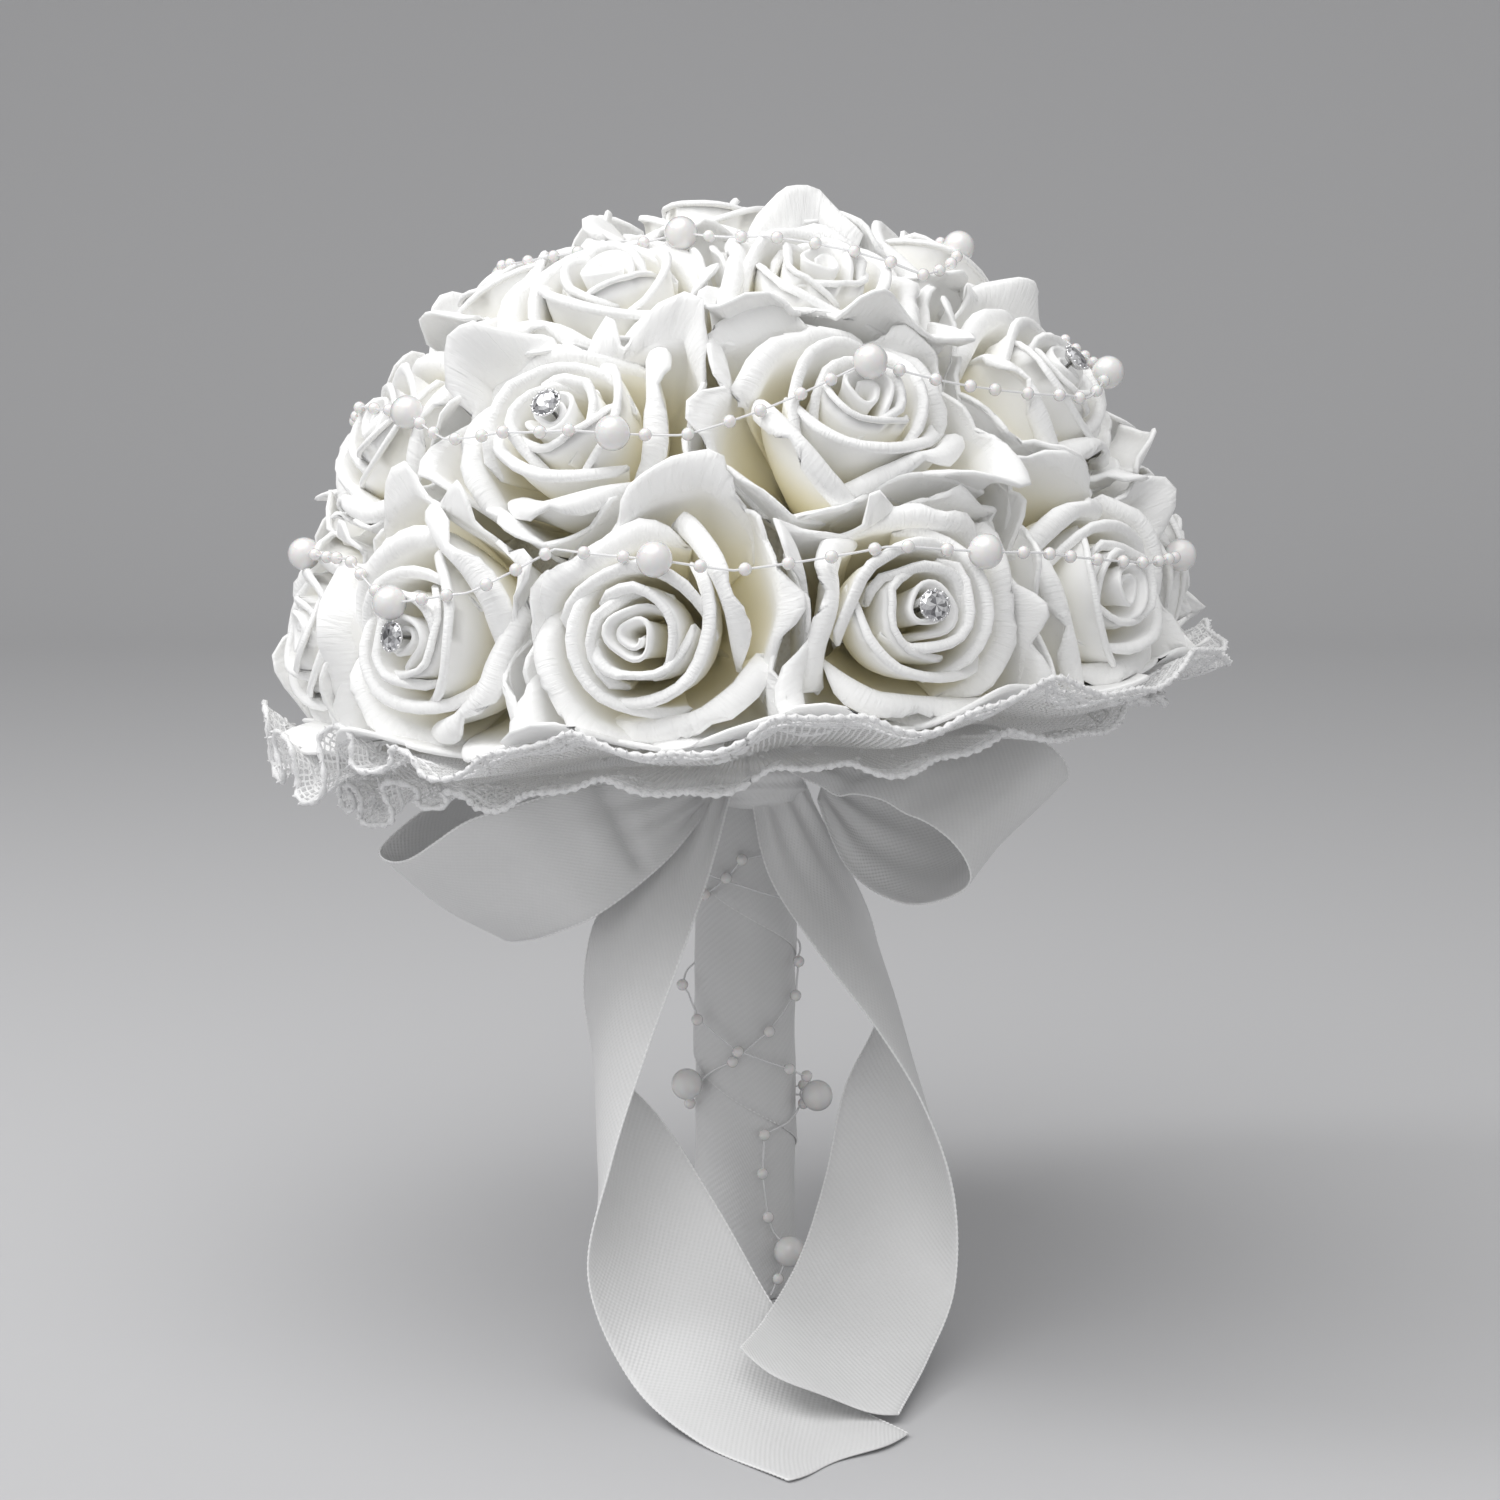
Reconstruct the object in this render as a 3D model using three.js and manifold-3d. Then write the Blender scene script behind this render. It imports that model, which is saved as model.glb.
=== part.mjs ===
// A bridal bouquet of white foam roses: a domed head on a straight wrapped handle, with a lace collar,
// a satin bow with two long tails, strings of pearls and crystal-headed pins.
// Millimetres, +Z up. The origin is the centre of the handle's flat end, on which the bouquet stands,
// and the bow is at the front, towards -Y.
import * as THREE from "three";
import { mergeVertices } from "three/addons/utils/BufferGeometryUtils.js";
import Module from "manifold-3d";

const wasm = await Module();
wasm.setup();

// Clearances
const GAP = 0.3; // between pieces that touch

// Handle
const HANDLE_R = 13.2; // outside of the satin wrap
const WRAP_T = 0.9;
const WRAP_FLOOR_T = 1.2;
const WRAP_TOP = 144.6;
const TUBE_R = 12;
const TUBE_WALL = 2;
const FLANGE_R = 30;
const FLANGE_T = 2.5;
const HANDLE_SIDES = 18;

// Head: every rose points away from one centre, inside the foam core
const HEAD_Z = 163;
const HEAD_TILT = THREE.MathUtils.degToRad(4.3); // the head sits a little askew, lower on the left
const HEAD_R = 114; // to the tips of the buds
const ROSE_DEPTH = 46;
const CORE_R = 67;
const CORE_FLOOR = -7.5; // flat underside of the core, from the head's centre
const STEM_R = 1.3;
const STEM_LENGTH = 30;
const STEM_SIDES = 4;
const RINGS = [
  { count: 11, elevation: 10, phase: -10.5 },
  { count: 8, elevation: 37, phase: 20 },
  { count: 6, elevation: 61, phase: 28 },
  { count: 1, elevation: 90, phase: 0 },
];

// Roses
const PETAL_REACH = [25.5, 42]; // least and most that the outer petals spread to fill the room between roses
const LIP_LEVEL = HEAD_R - 10; // of the outer lips, from the head's centre
const CELL_SOFT = 4; // a petal starts to bend this far from the plane that it shares with the next rose

// Crystal pins, by the number of the rose that each is pushed into
const PINNED = [1, 4, 7, 10, 12, 14, 16, 18, 21];
const CRYSTAL_R = 3.6;
const PIN_R = 0.5;
const PIN_LENGTH = 13;

// Lace collar: two gathered rings under the roses
const LACE_T = 0.8;
const LACE_INNER_R = 13.8;
const LACE_UPPER_R = 120;
const LACE_LOWER_R = 104;
const LACE_WAVES = 12;
const LACE_WAVE = 3.2;
const LACE_COLUMNS = 48;

// Satin ribbon of the bow, 40 mm wide. Each row is one place along the ribbon: its one edge, its middle and
// its other edge. The ribbon runs smoothly through the rows. The tails end 2 mm above the floor, so that the
// stiff model stands on its handle alone.
const RIBBON_T = 0.8;
const LEFT_TAIL = [
  [[-2, -21, 137], [-5, -21, 138], [-8, -20, 138]],
  [[-7, -45, 121], [-15, -38, 121], [-22, -31, 121]],
  [[-14, -67, 103], [-26, -52, 102], [-37, -35, 101]],
  [[-23, -75, 79], [-35, -59, 79], [-37, -40, 75]],
  [[-31, -81, 54], [-34, -63, 53], [-20, -51, 57]],
  [[-36, -85, 29], [-23, -71, 30], [-6, -63, 38]],
  [[-26, -96, 8], [-9, -86, 13.5], [7, -74, 18]],
  [[-10, -117, 2.8], [6, -105, 3.4], [22, -92, 4.2]],
  [[9, -139, 2.4], [23, -126, 2.4], [37, -112, 2.4]],
];
const RIGHT_TAIL = [
  [[1, -21, 135], [7, -21, 136], [14, -21, 136]],
  [[6, -32, 114], [16, -25, 117], [23, -14, 118]],
  [[18, -45, 97], [28, -27, 99], [32, -8, 97]],
  [[32, -50, 79], [38, -31, 80], [34, -12, 76]],
  [[43, -54, 61], [41, -35, 59], [25, -22, 58]],
  [[50, -55, 40], [38, -41, 38], [20, -32, 38]],
  [[50, -61, 19], [31, -56, 21], [12, -55, 25.5]],
  [[43, -77, 7], [24, -78, 11.6], [5, -81, 18]],
  [[35, -102, 3.1], [16, -105, 8], [-1, -98, 16]],
];
const LEFT_LOOP = [
  [[-6, -23, 138], [-7, -23, 134], [-8, -23, 131]],
  [[-34, -43, 138], [-26, -42, 128], [-19, -42, 119]],
  [[-62, -60, 132], [-49, -53, 120], [-37, -49, 106]],
  [[-81, -49, 120], [-67, -41, 108], [-52, -33, 98]],
  [[-88, -32, 121], [-75, -25, 108], [-61, -17, 97]],
  [[-69, -28, 134], [-62, -13, 125], [-52, -1, 113]],
  [[-40, -27, 138], [-36, -17, 131], [-30, -8, 122]],
  [[-7, -15, 138], [-8, -15, 135], [-8, -15, 131]],
];
const RIGHT_LOOP = [
  [[9, -22, 139], [11, -20, 141], [14, -19, 142]],
  [[21, -36, 136], [29, -27, 142], [36, -18, 146]],
  [[35, -48, 134], [46, -35, 142], [58, -21, 149]],
  [[49, -57, 126], [62, -44, 136], [74, -31, 145]],
  [[53, -53, 115], [65, -40, 126], [78, -27, 136]],
  [[40, -34, 107], [52, -22, 118], [63, -11, 132]],
  [[26, -22, 113], [34, -16, 123], [41, -9, 134]],
  [[18, -17, 130], [19, -14, 133], [20, -12, 136]],
];
const BAND = { inner: HANDLE_R + GAP, outer: 14.8, bottom: 130, top: 141 };
const KNOT = { centre: [2, -20, 136], size: [13, 6.5, 8] };

// Pearls
const LINE_R = 0.45;
const SMALL_PEARL_R = 1.5;
const LARGE_PEARL_R = 4;
const LINE_SIDES = 4;
const HEAD_STRING = [ // turns round the head, elevation
  [0, 12],
  [0.35, 19],
  [0.5, 17],
  [0.75, 15],
  [1, 24],
  [1.35, 34],
  [1.5, 36],
  [1.75, 35],
  [2, 46],
  [2.35, 64],
  [2.6, 68],
  [2.85, 70],
];
const HEAD_BEAD_STEP = 26;
const LARGE_EVERY = 4;
// The string wound round the handle: degrees from the front, height, pearl (0 none, 1 small, 2 large)
const HANDLE_STRING = [
  [45, 5, 1], [60, 12, 2], [28, 20, 1], [22, 31, 1], [24, 40, 1], [60, 43, 0], [90, 44, 1], [135, 45, 0],
  [180, 46, 1], [235, 49, 0], [290, 52, 2], [318, 55, 0], [350, 58, 1], [388, 65, 1], [418, 70, 0],
  [440, 74, 1], [458, 81, 1], [490, 84, 0], [520, 86.4, 1], [555, 89, 0], [590, 92, 0], [635, 96, 1],
  [678, 101, 1], [715, 105, 1], [755, 108, 0], [800, 112, 1], [850, 116, 0], [900, 118, 1], [945, 116, 0],
  [990, 112, 1], [1035, 109, 0], [1088, 105.5, 1], [1130, 101, 0], [1175, 97, 1], [1220, 92, 0],
  [1250, 89, 0], [1282, 84.5, 1], [1310, 81, 0], [1348, 76, 1], [1372, 70, 1], [1408, 65, 0],
  [1428, 62.5, 1], [1482, 57, 1], [1525, 53, 1], [1568, 51.5, 2], [1600, 50.5, 0],
];
const CROSSING_LIFT = 1.4; // the second pass of the string lies over the first

const rad = THREE.MathUtils.degToRad;
const vec = (x, y, z) => new THREE.Vector3(x, y, z);

// A seeded draw from 0 to 1, the same in every run.
function drawFrom(seed) {
  let state = seed;
  return () => {
    state = (Math.imul(state, 1664525) + 1013904223) >>> 0;
    return state / 4294967296;
  };
}

function solidOf(geometry) {
  const bare = geometry.clone();
  bare.deleteAttribute("normal");
  bare.deleteAttribute("uv");
  const merged = mergeVertices(bare, 1e-4);
  return new wasm.Manifold(
    new wasm.Mesh({
      numProp: 3,
      vertProperties: merged.attributes.position.array,
      triVerts: new Uint32Array(merged.index.array),
    }),
  );
}

function geometryOf(solid) {
  const mesh = solid.getMesh();
  const geometry = new THREE.BufferGeometry();
  geometry.setAttribute("position", new THREE.BufferAttribute(mesh.vertProperties, 3));
  geometry.setIndex(new THREE.BufferAttribute(mesh.triVerts, 1));
  geometry.computeVertexNormals();
  return geometry;
}

// The solid's largest body, without the loose scraps that a union can leave.
function largestBody(solid) {
  return solid.decompose().sort((a, b) => b.volume() - a.volume())[0];
}

// A closed sheet of even thickness round a grid of points, grid[row][column]. wrap joins the last column to
// the first. Both faces are split along the same, shorter diagonals.
function sheet(grid, thickness, wrap = false) {
  const rows = grid.length;
  const columns = grid[0].length;
  const column = (j) => (wrap ? (j + columns) % columns : Math.min(Math.max(j, 0), columns - 1));
  const at = (i, j) => grid[Math.min(Math.max(i, 0), rows - 1)][column(j)];
  const positions = [];
  for (const side of [0.5, -0.5])
    for (let i = 0; i < rows; i++)
      for (let j = 0; j < columns; j++) {
        const along = at(i + 1, j).clone().sub(at(i - 1, j));
        const across = at(i, j + 1).clone().sub(at(i, j - 1));
        const normal = across.cross(along).normalize();
        positions.push(...grid[i][j].clone().addScaledVector(normal, side * thickness).toArray());
      }
  const front = (i, j) => i * columns + (j % columns);
  const back = (i, j) => rows * columns + front(i, j);
  const index = [];
  const quad = (a, b, c, d) => index.push(a, b, c, a, c, d);
  const spans = wrap ? columns : columns - 1;
  for (let i = 0; i < rows - 1; i++)
    for (let j = 0; j < spans; j++) {
      const turned = at(i, j + 1).distanceTo(at(i + 1, j)) < at(i, j).distanceTo(at(i + 1, j + 1));
      const corners = [[i, j], [i, j + 1], [i + 1, j + 1], [i + 1, j]];
      if (turned) corners.push(corners.shift());
      quad(...corners.map((corner) => front(...corner)));
      const [a, b, c, d] = corners.map((corner) => back(...corner));
      index.push(a, c, b, a, d, c);
    }
  for (let j = 0; j < spans; j++) {
    quad(front(0, j + 1), front(0, j), back(0, j), back(0, j + 1));
    quad(front(rows - 1, j), front(rows - 1, j + 1), back(rows - 1, j + 1), back(rows - 1, j));
  }
  if (!wrap)
    for (let i = 0; i < rows - 1; i++) {
      quad(front(i, 0), front(i + 1, 0), back(i + 1, 0), back(i, 0));
      quad(front(i + 1, columns - 1), front(i, columns - 1), back(i, columns - 1), back(i + 1, columns - 1));
    }
  const geometry = new THREE.BufferGeometry();
  geometry.setAttribute("position", new THREE.Float32BufferAttribute(positions, 3));
  geometry.setIndex(index);
  return geometry;
}

function lathe(profile, sides) {
  return new THREE.LatheGeometry(
    profile.map(([r, z]) => new THREE.Vector2(r, z)),
    sides,
  ).rotateX(Math.PI / 2);
}

// Where the roses stand: a unit direction from the head's centre, and a turn about it that points the petals'
// tips into the widest room.
function rosePlaces() {
  const places = [];
  for (const { count, elevation, phase } of RINGS)
    for (let k = 0; k < count; k++) {
      const azimuth = rad(phase + (360 * k) / count);
      const flat = Math.cos(rad(elevation));
      const direction = vec(flat * Math.sin(azimuth), -flat * Math.cos(azimuth), Math.sin(rad(elevation)));
      places.push({ direction });
    }
  for (const place of places) {
    const isNear = (other) => other !== place && other.direction.angleTo(place.direction) < rad(50);
    const near = places.filter(isNear);
    place.neighbours = near.map((other) => other.direction.clone().sub(place.direction).normalize());
    const upright = new THREE.Quaternion().setFromUnitVectors(vec(0, 0, 1), place.direction);
    let best = -1;
    for (let turn = 0; turn < 360 / OUTER_PETALS; turn += 4) {
      const spin = new THREE.Quaternion().setFromAxisAngle(vec(0, 0, 1), rad(turn));
      const quaternion = upright.clone().multiply(spin);
      const tried = { ...place, quaternion };
      let sum = 0;
      for (let k = 0; k < OUTER_PETALS; k++) sum += roomAt(tried, ((k + 0.5) * 2 * Math.PI) / OUTER_PETALS);
      if (sum > best) {
        best = sum;
        place.quaternion = quaternion;
      }
    }
  }
  return places;
}

// How far a rose's lips can go in a direction round it before they meet a neighbour or the lace.
function roomAt({ direction, quaternion, neighbours }, angle) {
  const side = vec(Math.cos(angle), Math.sin(angle), 0).applyQuaternion(quaternion);
  let room = PETAL_REACH[1];
  for (const normal of neighbours) {
    const slope = side.dot(normal);
    if (slope > 0.05) room = Math.min(room, (-LIP_LEVEL * direction.dot(normal)) / slope);
  }
  if (side.z < -0.05) room = Math.min(room, (LIP_LEVEL * direction.z + 5) / -side.z);
  return Math.max(room, PETAL_REACH[0]);
}

// The upper and lower lace as heights over the head's own plane, at a radius and a direction from the front.
function laceHeight(upper, radius, azimuth) {
  const front = Math.cos(azimuth);
  const right = Math.sin(azimuth);
  const ripple = Math.sin(LACE_WAVES * azimuth + 0.8 * Math.sin(2 * azimuth));
  const wave = LACE_WAVE * ripple * Math.max((radius - 50) / 70, 0) ** 1.5;
  if (upper) return -13 + (6.2 + 3.8 * front + 3 * right) * Math.max((radius - 60) / 60, 0) ** 2 + wave;
  return -16.4 + (0.4 + 0.8 * front + 2.4 * right) * Math.max((radius - 40) / 64, 0) ** 2 + wave;
}

// Bends a point clear of the plane that two neighbouring roses share, and of the lace below.
function settle(point, neighbours) {
  for (let pass = 0; pass < 3; pass++) {
    for (const normal of neighbours) {
      const start = -GAP - CELL_SOFT;
      const s = point.dot(normal);
      if (s <= start) continue;
      const bent = start + CELL_SOFT * (1 - Math.exp((start - s) / CELL_SOFT));
      point.addScaledVector(normal, bent - s);
    }
    const azimuth = Math.atan2(point.x, -point.y);
    const lace = laceHeight(true, Math.hypot(point.x, point.y), azimuth);
    const floor = lace + LACE_T / 2 + 3 * GAP + CELL_SOFT;
    if (point.z < floor) point.z = floor - CELL_SOFT * (1 - Math.exp((point.z - floor) / CELL_SOFT));
  }
  return point;
}

// A rose's surface in its own frame, ring by ring from the base, over the lips of the outer row, down between
// the rows, over the inner row and up the bud. Each ring has a radius and a height. swirl sets one edge of a
// petal outside its neighbour, and out and up stretch and lift the middle of its lip. give is how much of the
// room round the rose the ring takes up.
const OUTER_PETALS = 5;
const INNER_PETALS = 3;
const COLUMNS = OUTER_PETALS * INNER_PETALS;
const LIP_R = 30;
const OUTER_RINGS = [
  { r: 6, z: 0, swirl: 0, out: 0, up: 0, give: 0 },
  { r: 17.5, z: 15, swirl: 0.9, out: 0, up: 0, give: 0.6 },
  { r: 24.5, z: 33, swirl: 1.2, out: 0, up: 0, give: 1 },
  { r: 28.5, z: 34.5, swirl: 1.2, out: 3, up: -1.2, give: 1 },
  { r: 23.5, z: 38.5, swirl: 1.2, out: 0, up: 1, give: 1 },
  { r: 19, z: 27, swirl: 0.8, out: 0, up: 0, give: 1 },
];
const INNER_RINGS = [
  { r: 13.5, z: 29, swirl: 0.6, out: 0, up: 0, give: 0.35 },
  { r: 17, z: 43, swirl: 0.9, out: 0.8, up: 1.2, give: 0.35 },
  { r: 14.4, z: 43.8, swirl: 0.9, out: 0, up: 1.2, give: 0.35 },
  { r: 10.6, z: 33, swirl: 0.5, out: 0, up: 0, give: 0 },
  { r: 8, z: 33, swirl: 0.4, out: 0, up: 0, give: 0 },
  { r: 6.4, z: 45, swirl: 0.4, out: 0, up: 0.6, give: 0 },
];

function roseRing({ r, z, swirl, out, up, give }, petals, turns, lifts, reach) {
  const columns = COLUMNS / petals;
  return Array.from({ length: COLUMNS }, (_, i) => {
    const petal = Math.floor(i / columns);
    const u = -1 + (2 * (i % columns)) / (columns - 1);
    const width = 1 - 0.06 * Math.abs(u);
    const turned = turns[petal] * Math.min(z / 40, 1);
    const angle = ((petal + 0.5 + (u * width) / 2) * 2 * Math.PI) / petals + turned;
    const outer = petals === OUTER_PETALS;
    const share = outer ? reach(angle) : Math.min(reach(angle), 1.1);
    const radius = (r + out * (1 - Math.abs(u))) * (1 + (share - 1) * give) + swirl * u;
    const droop = outer && z > 20 ? Math.max(share * LIP_R - 31, 0) * 0.4 : 0; // a long petal hangs lower
    const height = z + up * (1 - Math.abs(u)) + (z > 20 ? lifts[petal] : 0) - droop;
    return vec(radius * Math.cos(angle), radius * Math.sin(angle), height);
  });
}

// A closed solid through rings of points, split along the shorter diagonals, with a flat fan over each end.
function loft(rings) {
  const columns = rings[0].length;
  const positions = rings.flat().flatMap((p) => p.toArray());
  const index = [];
  for (let i = 0; i < rings.length - 1; i++)
    for (let j = 0; j < columns; j++) {
      const next = (j + 1) % columns;
      const [a, b] = [i * columns + j, i * columns + next];
      const [c, d] = [a + columns, b + columns];
      const [low, high] = [rings[i], rings[i + 1]];
      const turned = low[next].distanceTo(high[j]) < low[j].distanceTo(high[next]);
      index.push(...(turned ? [a, b, c, b, d, c] : [a, b, d, a, d, c]));
    }
  for (const [ring, turned] of [[0, true], [rings.length - 1, false]]) {
    const middle = rings[ring].reduce((sum, p) => sum.add(p), vec()).divideScalar(columns);
    const centre = positions.length / 3;
    positions.push(...middle.toArray());
    for (let j = 0; j < columns; j++) {
      const a = ring * columns + j;
      const b = ring * columns + ((j + 1) % columns);
      index.push(centre, ...(turned ? [b, a] : [a, b]));
    }
  }
  const geometry = new THREE.BufferGeometry();
  geometry.setAttribute("position", new THREE.Float32BufferAttribute(positions, 3));
  geometry.setIndex(index);
  return geometry;
}

// From a rose's own frame, with its base at zero, to the head's.
function placeMatrix({ direction, quaternion }) {
  const base = direction.clone().multiplyScalar(HEAD_R - ROSE_DEPTH);
  return new THREE.Matrix4().compose(base, quaternion, vec(1, 1, 1));
}

function rose(place, seed, pinned) {
  const draw = drawFrom(seed);
  const matrix = placeMatrix(place);
  const back = matrix.clone().invert();
  const spread = (size, length) => Array.from({ length }, () => (draw() - 0.5) * size);
  const outerTurns = spread(0.05, OUTER_PETALS);
  const outerLifts = spread(1.4, OUTER_PETALS);
  const innerTurns = spread(0.08, INNER_PETALS);
  const innerLifts = spread(1, INNER_PETALS);
  const reach = (angle) => roomAt(place, angle) / LIP_R;
  const rings = [
    ...OUTER_RINGS.map((ring) => roseRing(ring, OUTER_PETALS, outerTurns, outerLifts, reach)),
    ...INNER_RINGS.map((ring) => roseRing(ring, INNER_PETALS, innerTurns, innerLifts, reach)),
  ];
  for (const point of rings.flat()) settle(point.applyMatrix4(matrix), place.neighbours).applyMatrix4(back);
  let solid = solidOf(loft(rings));
  const stem = new THREE.CylinderGeometry(STEM_R, STEM_R, STEM_LENGTH + 3, STEM_SIDES);
  solid = solid.add(solidOf(stem.rotateX(Math.PI / 2).translate(0, 0, (3 - STEM_LENGTH) / 2)));
  if (pinned) {
    const hole = new THREE.CylinderGeometry(PIN_R + GAP, PIN_R + GAP, PIN_LENGTH + 2, 4);
    solid = solid.subtract(solidOf(hole.rotateX(Math.PI / 2).translate(0, 0, 47 - PIN_LENGTH / 2)));
  }
  return { geometry: geometryOf(solid), matrix };
}

// A crystal on its pin, in the frame of the rose that it is pushed into.
function crystalPin() {
  const top = 46.2;
  const point = top - PIN_LENGTH;
  const pin = [[0, point], [PIN_R, point], [PIN_R, top]];
  const stone = [[2.4, top + 0.2], [CRYSTAL_R, top + 1.6], [2.1, top + 2.8], [0, top + 2.8]];
  return lathe([...pin, ...stone], 5);
}

// The foam core: a ball cut flat below, with a plain hole for each stem.
function foamCore(places) {
  const profile = [];
  const from = Math.asin(CORE_FLOOR / CORE_R);
  for (let i = 0; i <= 5; i++) {
    const angle = from + ((Math.PI / 2 - from) * i) / 5;
    profile.push([CORE_R * Math.cos(angle), CORE_R * Math.sin(angle)]);
  }
  profile[5][0] = 0;
  let solid = solidOf(lathe([[0, CORE_FLOOR], ...profile], 16));
  const holeR = STEM_R + 1.4 * GAP;
  for (const place of places) {
    const hole = new THREE.CylinderGeometry(holeR, holeR, STEM_LENGTH + 1, STEM_SIDES);
    hole.rotateX(Math.PI / 2).translate(0, 0, (1 - STEM_LENGTH) / 2 - GAP);
    solid = solid.subtract(solidOf(hole.applyMatrix4(placeMatrix(place))));
  }
  return geometryOf(solid);
}

// The plastic holder: an open tube up the handle, with a flange that the foam core sits on.
function holder() {
  const bottom = WRAP_FLOOR_T + GAP;
  const ceiling = HEAD_Z - 20;
  const top = HEAD_Z + CORE_FLOOR - GAP - FLANGE_T / 2;
  const bore = TUBE_R - TUBE_WALL;
  const outside = [[bore, bottom], [TUBE_R, bottom], [TUBE_R, top], [0, top]];
  const inside = [[0, ceiling], [bore, ceiling], [bore, bottom]];
  const tube = lathe([...outside, ...inside], HANDLE_SIDES);
  const low = CORE_FLOOR - GAP - FLANGE_T;
  const high = low + FLANGE_T;
  const disc = [[0, low], [TUBE_R + 2, low], [FLANGE_R, low + 1], [FLANGE_R, high], [0, high]];
  const flange = lathe(disc, HANDLE_SIDES);
  return geometryOf(solidOf(tube).add(solidOf(flange.applyMatrix4(head.matrix))));
}

// The satin wrap: a cup over the holder's tube, closed under the handle's end.
function handleWrap() {
  const inner = HANDLE_R - WRAP_T;
  const outside = [[0, 0], [HANDLE_R - 0.4, 0], [HANDLE_R, 0.5], [HANDLE_R, WRAP_TOP]];
  const inside = [[inner, WRAP_TOP], [inner, WRAP_FLOOR_T], [0, WRAP_FLOOR_T]];
  return lathe([...outside, ...inside], HANDLE_SIDES);
}

function laceLayer(upper) {
  const radii = upper ? [LACE_INNER_R, 62, 96, LACE_UPPER_R] : [LACE_INNER_R, 52, 82, LACE_LOWER_R];
  const grid = radii.map((radius) =>
    Array.from({ length: LACE_COLUMNS }, (_, j) => {
      const azimuth = (2 * Math.PI * j) / LACE_COLUMNS;
      return vec(radius * Math.sin(azimuth), -radius * Math.cos(azimuth), laceHeight(upper, radius, azimuth));
    }),
  );
  return sheet(grid, LACE_T, true);
}

// A grid on the smooth ribbon through a table of rows: length places along it, and width places across each.
function ribbon(rows, length, width) {
  const line = (k) => new THREE.CatmullRomCurve3(rows.map((row) => vec(...row[k])), false, "catmullrom");
  const lines = [0, 1, 2].map(line);
  return Array.from({ length }, (_, i) => {
    const [edge, middle, other] = lines.map((curve) => curve.getPoint(i / (length - 1)));
    return Array.from({ length: width }, (_, j) => {
      const u = j / (width - 1);
      const spot = edge.clone().multiplyScalar((1 - u) * (1 - 2 * u));
      return spot.addScaledVector(middle, 4 * u * (1 - u)).addScaledVector(other, u * (2 * u - 1));
    });
  });
}

// The bow: a band round the neck, a knot, two loops and two tails, all of one ribbon.
function bow() {
  const { inner, outer, bottom, top } = BAND;
  const profile = [[inner, bottom], [outer, bottom], [outer, top], [inner, top], [inner, bottom]];
  const knot = new THREE.SphereGeometry(1, 10, 6).scale(...KNOT.size).translate(...KNOT.centre);
  const bore = new THREE.CylinderGeometry(inner, inner, 60, HANDLE_SIDES).rotateX(Math.PI / 2);
  bore.translate(0, 0, KNOT.centre[2]);
  const tails = [LEFT_TAIL, RIGHT_TAIL].map((rows) => ribbon(rows, 15, 4));
  const loops = [LEFT_LOOP, RIGHT_LOOP].map((rows) => ribbon(rows, 14, 2));
  let solid = solidOf(lathe(profile, HANDLE_SIDES)).add(solidOf(knot));
  for (const grid of [...tails, ...loops]) solid = solid.add(solidOf(sheet(grid, RIBBON_T)));
  return geometryOf(largestBody(solid.subtract(solidOf(bore))));
}

// How far along the line from a stop's middle the tube's rings are, and their radii: for the bare line, a
// small pearl and a large one.
const PEARL_OUTLINES = [
  [[0, LINE_R]],
  [[-SMALL_PEARL_R, LINE_R], [0, SMALL_PEARL_R], [SMALL_PEARL_R, LINE_R]],
  [
    [-LARGE_PEARL_R, LINE_R],
    [-LARGE_PEARL_R * 0.55, LARGE_PEARL_R * 0.97],
    [LARGE_PEARL_R * 0.55, LARGE_PEARL_R * 0.97],
    [LARGE_PEARL_R, LINE_R],
  ],
];

// A line of pearls as one closed tube that swells at each pearl. Each stop is { point, pearl }.
function pearlString(stops) {
  const along = stops.map((stop, i) => {
    const after = stops[Math.min(i + 1, stops.length - 1)].point;
    const before = stops[Math.max(i - 1, 0)].point;
    return after.clone().sub(before).normalize();
  });
  const rings = [];
  let side = vec(0, 0, 1);
  stops.forEach(({ point, pearl }, i) => {
    side = side.clone().addScaledVector(along[i], -side.dot(along[i])).normalize();
    const other = along[i].clone().cross(side);
    const ring = ([shift, radius]) =>
      Array.from({ length: LINE_SIDES }, (_, j) => {
        const angle = (2 * Math.PI * (j + 0.5)) / LINE_SIDES;
        const spot = point.clone().addScaledVector(along[i], shift);
        spot.addScaledVector(side, radius * Math.cos(angle));
        return spot.addScaledVector(other, radius * Math.sin(angle));
      });
    rings.push(...PEARL_OUTLINES[pearl].map(ring));
  });
  return loft(rings);
}

// The second value of a table at a place between its rows' first values.
function between(table, key) {
  const next = table.findIndex((row) => row[0] >= key);
  const [a, b] = [table[next - 1], table[next]];
  const t = (key - a[0]) / (b[0] - a[0]);
  return a[1] + (b[1] - a[1]) * t;
}

// How far out, in a direction from the head's centre, a ball must be to lie on the roses.
function restingRadius(direction, radius, triangles) {
  const reach = (radius + 4) / 90;
  const near = triangles.filter(({ middle, spread }) => middle.angleTo(direction) < spread + reach);
  const closest = vec();
  let out = HEAD_R + 14;
  for (let step = 0; step < 60; step++) {
    const point = direction.clone().multiplyScalar(out);
    let room = Infinity;
    for (const { triangle } of near) {
      triangle.closestPointToPoint(point, closest);
      room = Math.min(room, closest.distanceTo(point));
    }
    const free = room - radius - GAP;
    if (free < 0.03 || out < HEAD_R - 25) return out;
    out -= Math.min(free, 4);
  }
  return out;
}

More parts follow.
